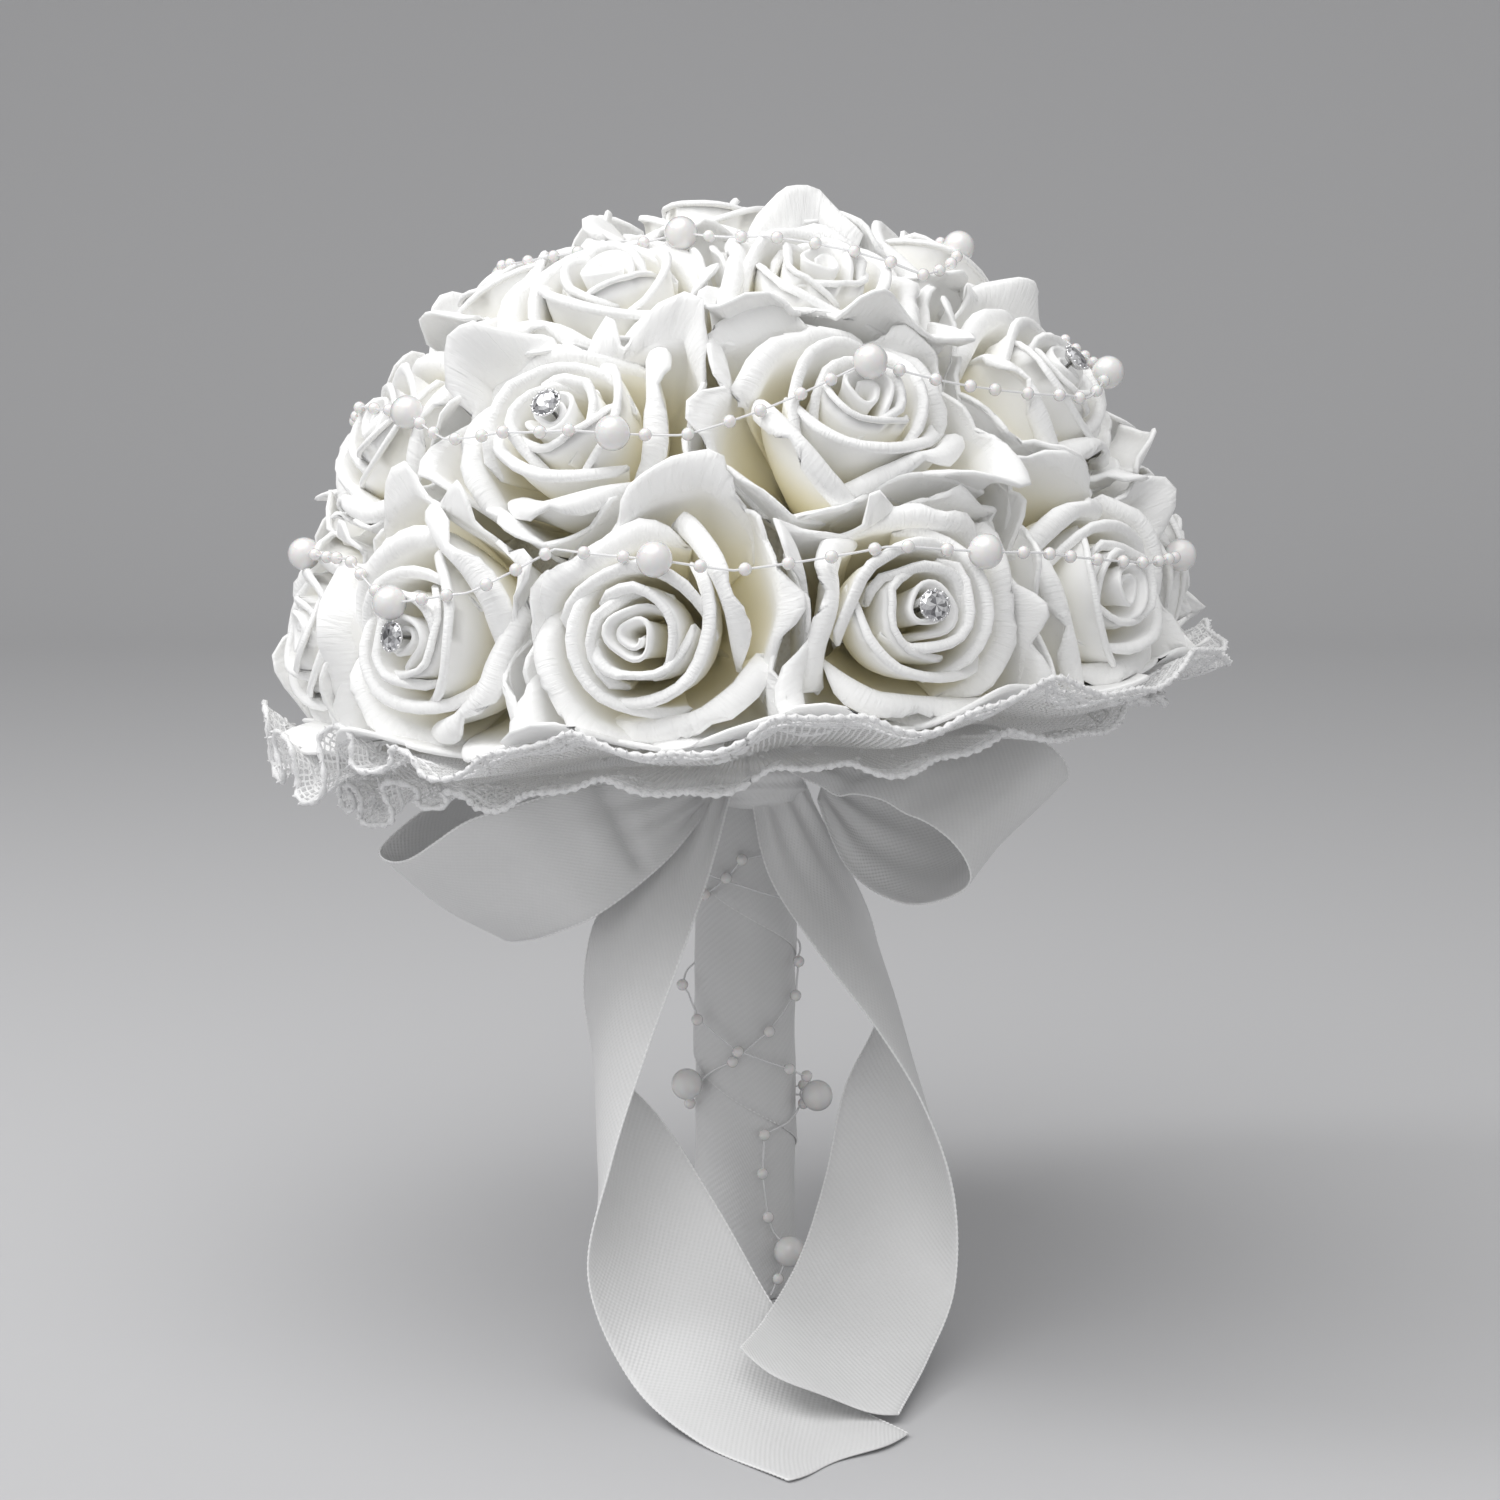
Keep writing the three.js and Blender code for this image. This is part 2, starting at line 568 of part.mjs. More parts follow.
// The string laid round the head: it lies on the roses' lips and spans the hollows between them.
function headString(pieces) {
  const triangles = [];
  for (const { geometry, matrix } of pieces) {
    const spots = geometry.attributes.position;
    for (let i = 0; i < geometry.index.count; i += 3) {
      const corner = (k) => vec().fromBufferAttribute(spots, geometry.index.getX(i + k)).applyMatrix4(matrix);
      const corners = [0, 1, 2].map(corner);
      const triangle = new THREE.Triangle(...corners);
      if (corners[0].length() < HEAD_R - 30 || triangle.getArea() < 1e-6) continue;
      const middle = corners[0].clone().add(corners[1]).add(corners[2]).normalize();
      const spread = Math.max(...corners.map((spot) => spot.angleTo(middle)));
      triangles.push({ triangle, middle, spread });
    }
  }
  const last = HEAD_STRING[HEAD_STRING.length - 1][0];
  const step = HEAD_BEAD_STEP / 2;
  const parts = 4; // looks at what lies under the string this often in a step
  const fine = [];
  for (let turn = 0.001; turn < last; ) {
    const azimuth = 2 * Math.PI * turn - Math.PI;
    const elevation = rad(between(HEAD_STRING, turn));
    const flat = Math.cos(elevation);
    const direction = vec(flat * Math.sin(azimuth), -flat * Math.cos(azimuth), Math.sin(elevation));
    fine.push({ direction, floor: restingRadius(direction, LINE_R + 0.2, triangles) });
    turn += step / parts / (2 * Math.PI * HEAD_R * flat);
  }
  const stops = [];
  for (let k = 0; k * parts < fine.length; k++) {
    const { direction } = fine[k * parts];
    const pearl = k % 2 === 0 ? 0 : k % (2 * LARGE_EVERY) === 3 ? 2 : 1;
    const under = fine.slice(Math.max(k * parts - parts, 0), k * parts + parts + 1).map((spot) => spot.floor);
    const pearlR = pearl === 2 ? LARGE_PEARL_R + 0.6 : SMALL_PEARL_R;
    if (pearl) under.push(restingRadius(direction, pearlR, triangles));
    stops.push({ direction, pearl, floor: Math.max(...under) });
  }
  // Pulled taut over what it rests on
  const reach = stops.map((stop) => stop.floor);
  for (let pass = 0; pass < 400; pass++)
    for (let i = 1; i < stops.length - 1; i++) {
      const [before, after] = [stops[i - 1].direction, stops[i + 1].direction];
      const taut = (2 * Math.cos(before.angleTo(after) / 2)) / (1 / reach[i - 1] + 1 / reach[i + 1]);
      reach[i] = Math.max(stops[i].floor, taut);
    }
  const spots = stops.map(({ direction }, i) => direction.clone().multiplyScalar(reach[i]));
  return pearlString(stops.map(({ pearl }, i) => ({ point: spots[i], pearl })));
}

function handleString() {
  const highest = Math.max(...HANDLE_STRING.map((row) => row[1]));
  const turned = HANDLE_STRING.findIndex((row) => row[1] === highest);
  const stops = [];
  HANDLE_STRING.forEach(([degrees, height, pearl], i) => {
    const [nextDegrees, nextHeight] = HANDLE_STRING[i + 1] ?? [degrees, height];
    const spans = Math.max(1, Math.ceil(Math.abs(nextDegrees - degrees) / 28));
    for (let k = 0; k < spans; k++) {
      const angle = rad(degrees + ((nextDegrees - degrees) * k) / spans);
      const size = k === 0 ? pearl : 0;
      const swell = Math.max([LINE_R, SMALL_PEARL_R, LARGE_PEARL_R][size], 1);
      const radius = HANDLE_R + GAP + swell + (i > turned ? CROSSING_LIFT : 0);
      const z = height + ((nextHeight - height) * k) / spans;
      stops.push({ point: vec(radius * Math.sin(angle), -radius * Math.cos(angle), z), pearl: size });
    }
  });
  return pearlString(stops);
}

const group = new THREE.Group();
const head = new THREE.Group();
head.position.z = HEAD_Z;
head.rotation.y = -HEAD_TILT;
head.updateMatrix();
group.add(head);

function material(color, roughness, metalness = 0) {
  return new THREE.MeshStandardMaterial({ color, roughness, metalness });
}

const petal = material(0xf6f4ee, 0.75);
const satin = material(0xe9e8ea, 0.4);
const lace = material(0xf2f1f0, 0.8);
const nacre = material(0xf4f1ec, 0.2);
const foam = material(0xe4ebe2, 0.9);
const plastic = material(0xf2f2ee, 0.5);
const crystal = material(0xc9ccd2, 0.1, 0.9);

function add(parent, name, geometry, look) {
  const mesh = new THREE.Mesh(geometry, look);
  mesh.name = name;
  parent.add(mesh);
  return mesh;
}

const two = (number) => String(number).padStart(2, "0");
const places = rosePlaces();
const roses = places.map((place, i) => rose(place, 100 + i, PINNED.includes(i)));
const pins = PINNED.map((i) => ({ geometry: crystalPin(), matrix: roses[i].matrix }));
roses.forEach(({ geometry, matrix }, i) => {
  add(head, "rose_" + two(i + 1), geometry, petal).applyMatrix4(matrix);
});
pins.forEach(({ geometry, matrix }, i) => {
  add(head, "crystal_pin_" + two(i + 1), geometry, crystal).applyMatrix4(matrix);
});
add(head, "foam_core", foamCore(places), foam);
add(head, "lace_upper", laceLayer(true), lace);
add(head, "lace_lower", laceLayer(false), lace);
add(head, "pearl_string_head", headString([...roses, ...pins]), nacre);
add(group, "holder", holder(), plastic);
add(group, "handle_wrap", handleWrap(), satin);
add(group, "bow", bow(), satin);
add(group, "pearl_string_handle", handleString(), nacre);

export default group;
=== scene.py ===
"""The looks of a bridal bouquet: foam roses on a wrapped handle, a lace collar, a satin bow and pearls.

Sizes are in millimetres, as in the part's source, and turn into metres when a mesh is made.
"""

import math

import bpy
import numpy as np
from mathutils import Matrix, Vector
from mathutils.bvhtree import BVHTree


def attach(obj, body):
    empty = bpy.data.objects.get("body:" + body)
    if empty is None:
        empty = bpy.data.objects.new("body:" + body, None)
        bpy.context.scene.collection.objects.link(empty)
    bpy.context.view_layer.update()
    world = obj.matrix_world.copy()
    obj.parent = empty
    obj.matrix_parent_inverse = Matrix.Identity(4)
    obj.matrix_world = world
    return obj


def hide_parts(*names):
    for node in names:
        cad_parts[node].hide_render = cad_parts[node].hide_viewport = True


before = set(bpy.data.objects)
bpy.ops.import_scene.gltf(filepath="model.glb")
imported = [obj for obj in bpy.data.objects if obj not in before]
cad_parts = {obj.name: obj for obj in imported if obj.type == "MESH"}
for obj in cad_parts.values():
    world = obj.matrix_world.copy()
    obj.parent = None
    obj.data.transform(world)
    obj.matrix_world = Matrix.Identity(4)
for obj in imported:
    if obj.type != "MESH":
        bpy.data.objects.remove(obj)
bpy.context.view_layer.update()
MM = 0.001

# Handle
HANDLE_R = 13.2
WRAP_TOP = 144.6
WRAP_WIDTH = 45
WRAP_T = 0.3
WRAP_PITCH = 49  # height that one turn of the wrap's ribbon climbs
WRAP_SEAM = 54  # height of a seam at the front
WRAP_OVERLAP = 3

# Head
HEAD_Z = 163
HEAD_TILT = math.radians(4.3)
HEAD_R = 114
ROSE_DEPTH = 46
RINGS = [(11, 10, -10.5), (8, 37, 20), (6, 61, 28), (1, 90, 0)]  # roses, elevation and phase in degrees
PINNED = [1, 4, 7, 10, 12, 14, 16, 18, 21]  # roses with a crystal pin

# Roses
GAP = 0.3
PETAL_T = 1.5
THIN_PETAL_T = PETAL_T * 0.8
OUTER_PETALS = 5
PETAL_REACH = (25.5, 42)  # least and greatest distance of the lips from a rose's axis
LIP_R = 30  # the distance that the rows' profiles are drawn for
LIP_HEIGHT = 40  # about the lips' height over a rose's foot
DROOP_R = 31  # lips that reach further out than this droop
LIP_LEVEL = HEAD_R - 10  # distance of the lips from the head's centre
LIP_DROP = 9  # how far the lowest lips may hang below the head's plane
LIP_START = 1.02  # a petal's flat coordinates pass 1 where its lip starts to roll
CELL_SOFT = 2.6  # petals bend away over this distance before a wall
LEAST_SLOPE = 0.05  # a lip that nears a wall more slowly than this doesn't meet it
NEAR = math.cos(math.radians(50))  # roses within this angle are neighbours
OVER_LIPS = 108.5  # past this distance from the head's centre, petals hang over their neighbours
OVER_LIPS_PACE = 2.5  # how quickly the wall then gives way
WALL_WAVE = 2.4  # neighbouring roses' lips lean this far over each other
WALL_WAVE_FROM = 85  # the waves start at this distance from the head's centre, and grow over 20 mm
WALL_GRAIN = np.array([0.1, 0.12, 0.11])  # direction and pace of the waves
WALL_HAND = np.array([0.61, 0.53, 0.59])  # any direction off the walls' own, to tell their two sides apart
BUD_R = 6.6
BUD_FOOT = 24
BUD_TOP = 45.4
LEAN_FROM = 15  # hearts lean over from this height

# Crystal pins
CRYSTAL_R = 3.6
CRYSTAL_LEVEL = 46.2
CLAW_R = 0.42
PIN_R = 0.5
PIN_LENGTH = 13

# Lace collar
LACE_INNER_R = 13.8
LACE_WAVES = 12
LACE_WAVE = 3.2
# Each layer turns up past the radius start: by the first number of rise, with the other two added towards
# the front and the right. up and down are how far the folds at its left side reach.
LACES = {
    "upper": dict(radius=120, level=-13, rise=(6.2, 3.8, 3), start=60, over=60, power=3.0, up=6, down=9,
                  scallops=34, sprigs=36, seed=11),
    "lower": dict(radius=104, level=-16.4, rise=(0.4, 0.8, 2.4), start=40, over=64, power=2, up=0, down=8,
                  scallops=30, sprigs=28, seed=12),
}
LACE_T = 0.25
ABOVE_LACE = 0.4 + 3 * GAP  # petals stay this far over the lace
SCALLOP = 1.6
FOLDS = 27  # round the whole edge, though only its left side is folded
FOLD_SIDE = 5.05  # middle of the folded side, as an azimuth from the front

# Satin ribbon
RIBBON_T = 0.35
RIBBON_WIDTH = 40
SELVEDGE_R = 0.28
STITCH = 1.3
GATHER = 1.1  # height of the gathers at the knot
GATHERED = 26  # they die away over this distance
WAVY_CUT = 1.1  # how far the tails' cut ends wander
# Each row has a point on the ribbon's one edge, in its middle and on its other edge
LEFT_TAIL = [
    [[-2, -21, 137], [-5, -21, 138], [-8, -20, 138]],
    [[-7, -45, 121], [-15, -38, 121], [-22, -31, 121]],
    [[-14, -67, 103], [-26, -52, 102], [-37, -35, 101]],
    [[-23, -75, 79], [-35, -59, 79], [-37, -40, 75]],
    [[-31, -81, 54], [-34, -63, 53], [-20, -51, 57]],
    [[-36, -85, 29], [-23, -71, 30], [-6, -63, 38]],
    [[-26, -96, 8], [-9, -86, 13.5], [7, -74, 18]],
    [[-10, -117, 1], [6, -105, 2.2], [22, -92, 3.2]],
    [[9, -139, 0.7], [23, -126, 0.7], [37, -112, 0.8]],
]
RIGHT_TAIL = [
    [[1, -21, 135], [7, -21, 136], [14, -21, 136]],
    [[6, -32, 114], [16, -25, 117], [23, -14, 118]],
    [[18, -45, 97], [28, -27, 99], [32, -8, 97]],
    [[32, -50, 79], [38, -31, 80], [34, -12, 76]],
    [[43, -54, 61], [41, -35, 59], [25, -22, 58]],
    [[50, -55, 40], [38, -41, 38], [20, -32, 38]],
    [[50, -61, 19], [31.5, -56, 21], [13.5, -55, 25]],
    [[43, -77, 7], [24, -78, 11.6], [5, -81, 18]],
    [[35, -102, 2.4], [16, -105, 7.6], [-1, -98, 16]],
]
LEFT_LOOP = [
    [[-6, -23, 138], [-7, -23, 134], [-8, -23, 131]],
    [[-34, -43, 138], [-26, -42, 128], [-19, -42, 119]],
    [[-62, -60, 132], [-49, -53, 120], [-37, -49, 106]],
    [[-81, -49, 120], [-67, -41, 108], [-52, -33, 98]],
    [[-88, -32, 121], [-75, -25, 108], [-61, -17, 97]],
    [[-69, -28, 134], [-62, -13, 125], [-52, -1, 113]],
    [[-40, -27, 138], [-36, -17, 131], [-30, -8, 122]],
    [[-7, -15, 138], [-8, -15, 135], [-8, -15, 131]],
]
RIGHT_LOOP = [
    [[9, -22, 139], [11, -20, 141], [14, -19, 142]],
    [[21, -36, 136], [29, -27, 142], [36, -18, 146]],
    [[35, -48, 134], [46, -35, 142], [58, -21, 149]],
    [[49, -57, 126], [62, -44, 136], [74, -31, 145]],
    [[53, -53, 115], [65, -40, 126], [78, -27, 136]],
    [[40, -34, 107], [52, -22, 118], [63, -11, 132]],
    [[26, -22, 113], [34, -16, 123], [41, -9, 134]],
    [[18, -17, 130], [19, -14, 133], [20, -12, 136]],
]
# A loop's pleats: distance from the knot, height, width, and how far across the ribbon they go
LEFT_PLEATS = [(31, 3.0, 2.2, 1.0), (39, -1.4, 4, 0.8), (60, 0.9, 9, 1.2)]
RIGHT_PLEATS = [(24, 1.8, 4, 0.7), (46, 1.2, 5, 0.5)]
KNOT_CENTRE = np.array([2, -20, 136])
KNOT_SIZE = np.array([13, 6.5, 8])
BAND_R = 14.4
BAND_HEIGHTS = (135, 142)

# Pearls
LINE_R = 0.28
SMALL_PEARL_R = 1.5
LARGE_PEARL_R = 4
PEARL_SPACING = 9
PEARL_SIZES = [0.5, SMALL_PEARL_R, LARGE_PEARL_R]  # the room for the bare line, then each pearl's radius
HEAD_STRING = [
    (0, 12), (0.3, 19), (0.34, 19), (0.378, 13.7), (0.41, 15), (0.44, 19.8), (0.5, 16), (0.55, 17),
    (0.6, 14.5), (0.66, 11), (0.75, 10), (1, 22), (1.3, 38), (1.343, 38), (1.38, 34), (1.43, 33.4),
    (1.485, 33), (1.52, 36), (1.56, 39.4), (1.62, 35.5), (1.67, 31.8), (1.75, 37), (2, 48), (2.35, 70),
    (2.47, 72.6), (2.56, 63.5), (2.63, 54), (2.8, 62), (2.9, 72),
]  # turns round the head, elevation in degrees
LARGE_PEARLS = [
    0.08, 0.19, 0.29, 0.378, 0.476, 0.584, 0.706, 0.82, 0.93, 1.05, 1.17, 1.343, 1.457, 1.56, 1.71, 1.84,
    2, 2.2, 2.47, 2.72,
]  # turns round the head
HANDLE_STRING = [
    (28, 1.8, 0), (34, 6, 1), (40, 13.5, 2), (23, 22.5, 1), (17, 34, 1), (19, 44, 1), (52, 46, 0),
    (84, 49, 1), (96, 53, 1), (135, 50, 0), (180, 49, 1), (235, 50, 0), (291, 50, 1), (303, 56, 2),
    (325, 60, 0), (348, 63, 1), (384, 70.5, 1), (405, 75, 0), (418, 78.5, 1), (424, 87, 1), (458, 90, 0),
    (520, 93.4, 1), (555, 95, 0), (590, 98, 0), (635, 101, 1), (678, 105, 1), (702, 109.7, 1),
    (717, 114.5, 1), (755, 116, 0), (800, 117, 1), (850, 119, 0), (900, 120, 1), (945, 118, 0),
    (990, 115, 1), (1035, 111, 0), (1076, 108, 0), (1130, 103, 0), (1175, 99, 1), (1220, 94, 0),
    (1262, 89, 1), (1310, 84, 0), (1365, 80.5, 1), (1393, 73, 1), (1434, 66, 1), (1483, 60.5, 1),
    (1512, 57, 1), (1516, 51.8, 2), (1560, 49, 0), (1600, 48, 0),
]  # degrees from the front, height, pearl (0 none, 1 small, 2 large)
STRING_STEP = 2.4  # distance between two points of the string over the roses
STRING_TURN = 9  # degrees between two points of the string round the handle
SUNK_LARGE = 0.7  # pearls sink in between the lips, so they rest at this share of their radius
SUNK_SMALL = 0.9
CROSSING_LIFT = 1.4  # how far the string's way down lies over its way up

# Stage, in metres
LIT_POINT = (0, 0, 0.16)
CAMERA_PLACE = (0.00125, -0.8, 0.25)
CAMERA_PITCH = math.radians(7.83)

HEAD = np.array(Matrix.Translation((0, 0, HEAD_Z)) @ Matrix.Rotation(-HEAD_TILT, 4, "Y"))


def to_world(points):
    """From the head's frame to the row frame."""
    return points @ HEAD[:3, :3].T + HEAD[:3, 3]


def unit(vectors):
    length = np.linalg.norm(vectors, axis=-1, keepdims=True)
    return vectors / np.maximum(length, 1e-9)


def stacked(*arrays):
    return np.stack(np.broadcast_arrays(*arrays), -1)


def around(radius, angle, z):
    """Points at an angle that starts on the X axis."""
    return stacked(radius * np.cos(angle), radius * np.sin(angle), z)


def from_front(radius, azimuth, z):
    """Points at an azimuth that starts at the front and turns to the right."""
    return stacked(radius * np.sin(azimuth), -radius * np.cos(azimuth), z)


def distances(points):
    """How far along a line each of its points is."""
    return np.concatenate([[0], np.cumsum(np.linalg.norm(np.diff(points, axis=0), axis=1))])


def new_object(name, data):
    made = bpy.data.objects.new(name, data)
    bpy.context.scene.collection.objects.link(made)
    return made


def smooth_line(points, t):
    """Points at t, from 0 to 1, on a smooth line through the points given."""
    points = np.asarray(points, float)
    last = len(points) - 1
    t = np.clip(np.asarray(t, float), 0, 1) * last
    i = np.minimum(t.astype(int), last - 1)
    w = (t - i)[..., None]
    after = points[i + 1]
    here = points[i]
    before = np.where((i > 0)[..., None], points[np.maximum(i - 1, 0)], 2 * here - after)
    beyond = np.where((i < last - 1)[..., None], points[np.minimum(i + 2, last)], 2 * after - here)
    a = -before + 3 * here - 3 * after + beyond
    b = 2 * before - 5 * here + 4 * after - beyond
    return 0.5 * (a * w**3 + b * w**2 + (after - before) * w + 2 * here)


class Parts:
    """Vertices, faces, flat coordinates and painted shading of what becomes one mesh: painted shade or
    painted reflections.
    """

    def __init__(self):
        self.points, self.faces, self.flats, self.tones, self.count = [], [], [], [], 0

    def add(self, points, faces, flats=None, tones=None):
        points = np.asarray(points, float).reshape(-1, 3)
        n = len(points)
        self.faces += [[int(corner) + self.count for corner in face] for face in faces]
        self.points.append(points)
        self.flats.append(np.zeros((n, 2)) if flats is None else np.asarray(flats).reshape(n, 2))
        self.tones.append(np.zeros(n) if tones is None else np.asarray(tones).reshape(n))
        self.count += n

    def object(self, name, material, smooth=True):
        mesh = bpy.data.meshes.new(name)
        mesh.from_pydata((np.concatenate(self.points) * MM).tolist(), [], self.faces)
        mesh.validate()
        if smooth:
            mesh.shade_smooth()
        corners = np.zeros(len(mesh.loops), int)
        mesh.loops.foreach_get("vertex_index", corners)
        uv = mesh.uv_layers.new(name="flat")
        uv.data.foreach_set("uv", np.concatenate(self.flats)[corners].ravel())
        # The painted shading attribute: ivory painted shade in the roses' depths, bright and dark painted
        # reflections on crystal facets.
        tone = mesh.attributes.new("tone", "FLOAT", "POINT")
        tone.data.foreach_set("value", np.concatenate(self.tones))
        mesh.materials.append(material)
        piece = new_object(name, mesh)
        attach(piece, "root")
        return piece


def grid_faces(rows, columns, start=0, wrap=False):
    i, j = np.meshgrid(np.arange(rows - 1), np.arange(columns if wrap else columns - 1), indexing="ij")
    k = (j + 1) % columns
    faces = np.stack([i * columns + j, i * columns + k, (i + 1) * columns + k, (i + 1) * columns + j], -1)
    return faces.reshape(-1, 4) + start


def band_faces(first, second):
    """Faces between two closed rows of points."""
    return np.stack([first, np.roll(first, -1), np.roll(second, -1), second], -1)


def fan_faces(middle, row, turned=False):
    """Faces from a middle point to a closed row of points."""
    pair = [row, np.roll(row, -1)]
    return np.stack([np.full(len(row), middle), *(pair[::-1] if turned else pair)], -1)


def add_sheet(parts, grid, thickness, flats, tones=None, wrap=False):
    """Adds a sheet with a round rim along a grid of points. wrap joins its last column to the first."""
    rows, columns = grid.shape[:2]
    across = np.roll(grid, -1, 1) - np.roll(grid, 1, 1) if wrap else np.gradient(grid, axis=1)
    half = thickness / 2
    rise = unit(np.cross(across, np.gradient(grid, axis=0))) * half
    tones = np.zeros((rows, columns)) if tones is None else tones
    n = rows * columns
    front = grid_faces(rows, columns, 0, wrap)
    back = grid_faces(rows, columns, n, wrap)[:, ::-1]
    index = np.arange(n).reshape(rows, columns)
    if wrap:
        edges = [index[0, ::-1], index[-1]]
    else:
        edges = [np.concatenate([index[0, ::-1], index[1:, 0], index[-1, 1:], index[-2:0:-1, -1]])]
    points = [(grid + rise).reshape(-1, 3), (grid - rise).reshape(-1, 3)]
    all_flats = [flats.reshape(-1, 2)] * 2
    all_tones = [tones.reshape(-1)] * 2
    faces = [front, back]
    start = 2 * n
    for edge in edges:
        i, j = np.divmod(edge, columns)
        inner = grid[np.clip(i, 1, rows - 2), j if wrap else np.clip(j, 1, columns - 2)]
        points.append(grid[i, j] + unit(grid[i, j] - inner) * half)
        all_flats.append(flats[i, j])
        all_tones.append(tones[i, j])
        rim = start + np.arange(len(edge))
        faces += [band_faces(edge, rim), band_faces(rim, n + edge)]
        start += len(edge)
    parts.add(*(np.concatenate(each) for each in (points, faces, all_flats, all_tones)))


def frames_along(path):
    """Two directions square to a path at each of its points, turning with it smoothly."""
    ahead = unit(np.gradient(path, axis=0))
    side = np.zeros_like(path)
    current = np.array([0, 0, 1.0]) if abs(ahead[0][2]) < 0.9 else np.array([1.0, 0, 0])
    for i, direction in enumerate(ahead):
        current = current - direction * (current @ direction)
        current = current / np.linalg.norm(current)
        side[i] = current
    return side, np.cross(ahead, side)


def add_tube(parts, path, radius, sides=6, closed=False):
    """Adds a round tube along a path. radius is one number, or one for each point."""
    side, other = frames_along(path)
    radius = np.broadcast_to(np.asarray(radius, float), len(path))[:, None, None]
    angle = 2 * np.pi * np.arange(sides) / sides
    round_ = np.cos(angle)[None, :, None] * side[:, None] + np.sin(angle)[None, :, None] * other[:, None]
    points = path[:, None] + radius * round_
    faces = grid_faces(len(path), sides, 0, True).tolist()
    k = np.arange(sides)
    if closed:
        faces += band_faces((len(path) - 1) * sides + k, k).tolist()
        parts.add(points, faces)
        return
    parts.add(points, faces)
    for ring, turned in ((points[0], True), (points[-1], False)):
        parts.add(np.vstack([ring, ring.mean(0)]), fan_faces(sides, k, turned))


def add_ball(parts, centre, radius, columns, rows):
    """Adds a ball."""
    polar = np.pi * np.arange(1, rows)[:, None] / rows
    turn = 2 * np.pi * np.arange(columns) / columns
    ring = around(np.sin(polar), turn, np.cos(polar))
    points = np.concatenate([ring.reshape(-1, 3), [[0, 0, 1], [0, 0, -1]]]) * radius + centre
    top = (rows - 1) * columns
    k = np.arange(columns)
    faces = grid_faces(rows - 1, columns, 0, True)[:, ::-1].tolist()
    faces += fan_faces(top, k).tolist() + fan_faces(top + 1, top - columns + k, True).tolist()
    parts.add(points, faces)


# Materials


class Nodes:
    """A material and short ways to add nodes to it."""

    def __init__(self, name, color, roughness, **sockets):
        self.material = bpy.data.materials.new(name)
        self.material.use_nodes = True
        self.tree = self.material.node_tree
        self.shader = self.tree.nodes["Principled BSDF"]
        self.set("Base Color", (*color, 1))
        self.set("Roughness", roughness)
        for socket, value in sockets.items():
            self.set(socket.replace("_", " "), value)

    def set(self, socket, value):
        self.shader.inputs[socket].default_value = value

    def add(self, kind, **settings):
        node = self.tree.nodes.new("ShaderNode" + kind)
        for key, value in settings.items():
            setattr(node, key, value)
        return node

    def link(self, output, target):
        self.tree.links.new(output, target)

    def fed(self, kind, vector, settings=(), **values):
        """A node that reads a vector."""
        node = self.add(kind, **dict(settings))
        self.link(vector, node.inputs["Vector"])
        for key, value in values.items():
            node.inputs[key].default_value = value
        return node

    def drive(self, socket, output):
        self.link(output, self.shader.inputs[socket])

    def place(self):
        """Where a point is in its object."""
        return self.add("TexCoord").outputs["Object"]

    def flat(self):
        """Where a point is on the flat sheet, in millimetres."""
        return self.add("UVMap", uv_map="flat").outputs["UV"]

    def math(self, operation, a, b=None):
        node = self.add("Math", operation=operation)
        for socket, value in zip(node.inputs, (a, b)):
            if value is None:
                continue
            if isinstance(value, (int, float)):
                socket.default_value = value
            else:
                self.link(value, socket)
        return node.outputs[0]

    def ramp(self, factor, *stops):
        """A colour ramp. Each stop is (place, colour)."""
        node = self.add("ValToRGB")
        elements = node.color_ramp.elements
        while len(elements) < len(stops):
            elements.new(0.5)
        for element, (place, color) in zip(elements, stops):
            element.position = place
            element.color = (*color, 1)
        self.link(factor, node.inputs["Fac"])
        return node.outputs["Color"]

    def bump(self, height, distance, strength=1.0, after=None):
        node = self.add("Bump")
        node.inputs["Strength"].default_value = strength
        node.inputs["Distance"].default_value = distance * MM
        self.link(height, node.inputs["Height"])
        if after is not None:
            self.link(after, node.inputs["Normal"])
        self.drive("Normal", node.outputs["Normal"])
        return node.outputs["Normal"]

    def noise(self, vector, size, detail=3.0, roughness=0.5):
        settings = dict(Scale=1 / (size * MM), Detail=detail, Roughness=roughness)
        return self.fed("TexNoise", vector, **settings).outputs["Fac"]


def grained_material(name, color, roughness, grain, depth, **sockets):
    """A plain material with a fine grain. grain is (size, detail)."""
    m = Nodes(name, color, roughness, **sockets)
    m.bump(m.noise(m.place(), *grain), depth, 0.4)
    return m.material


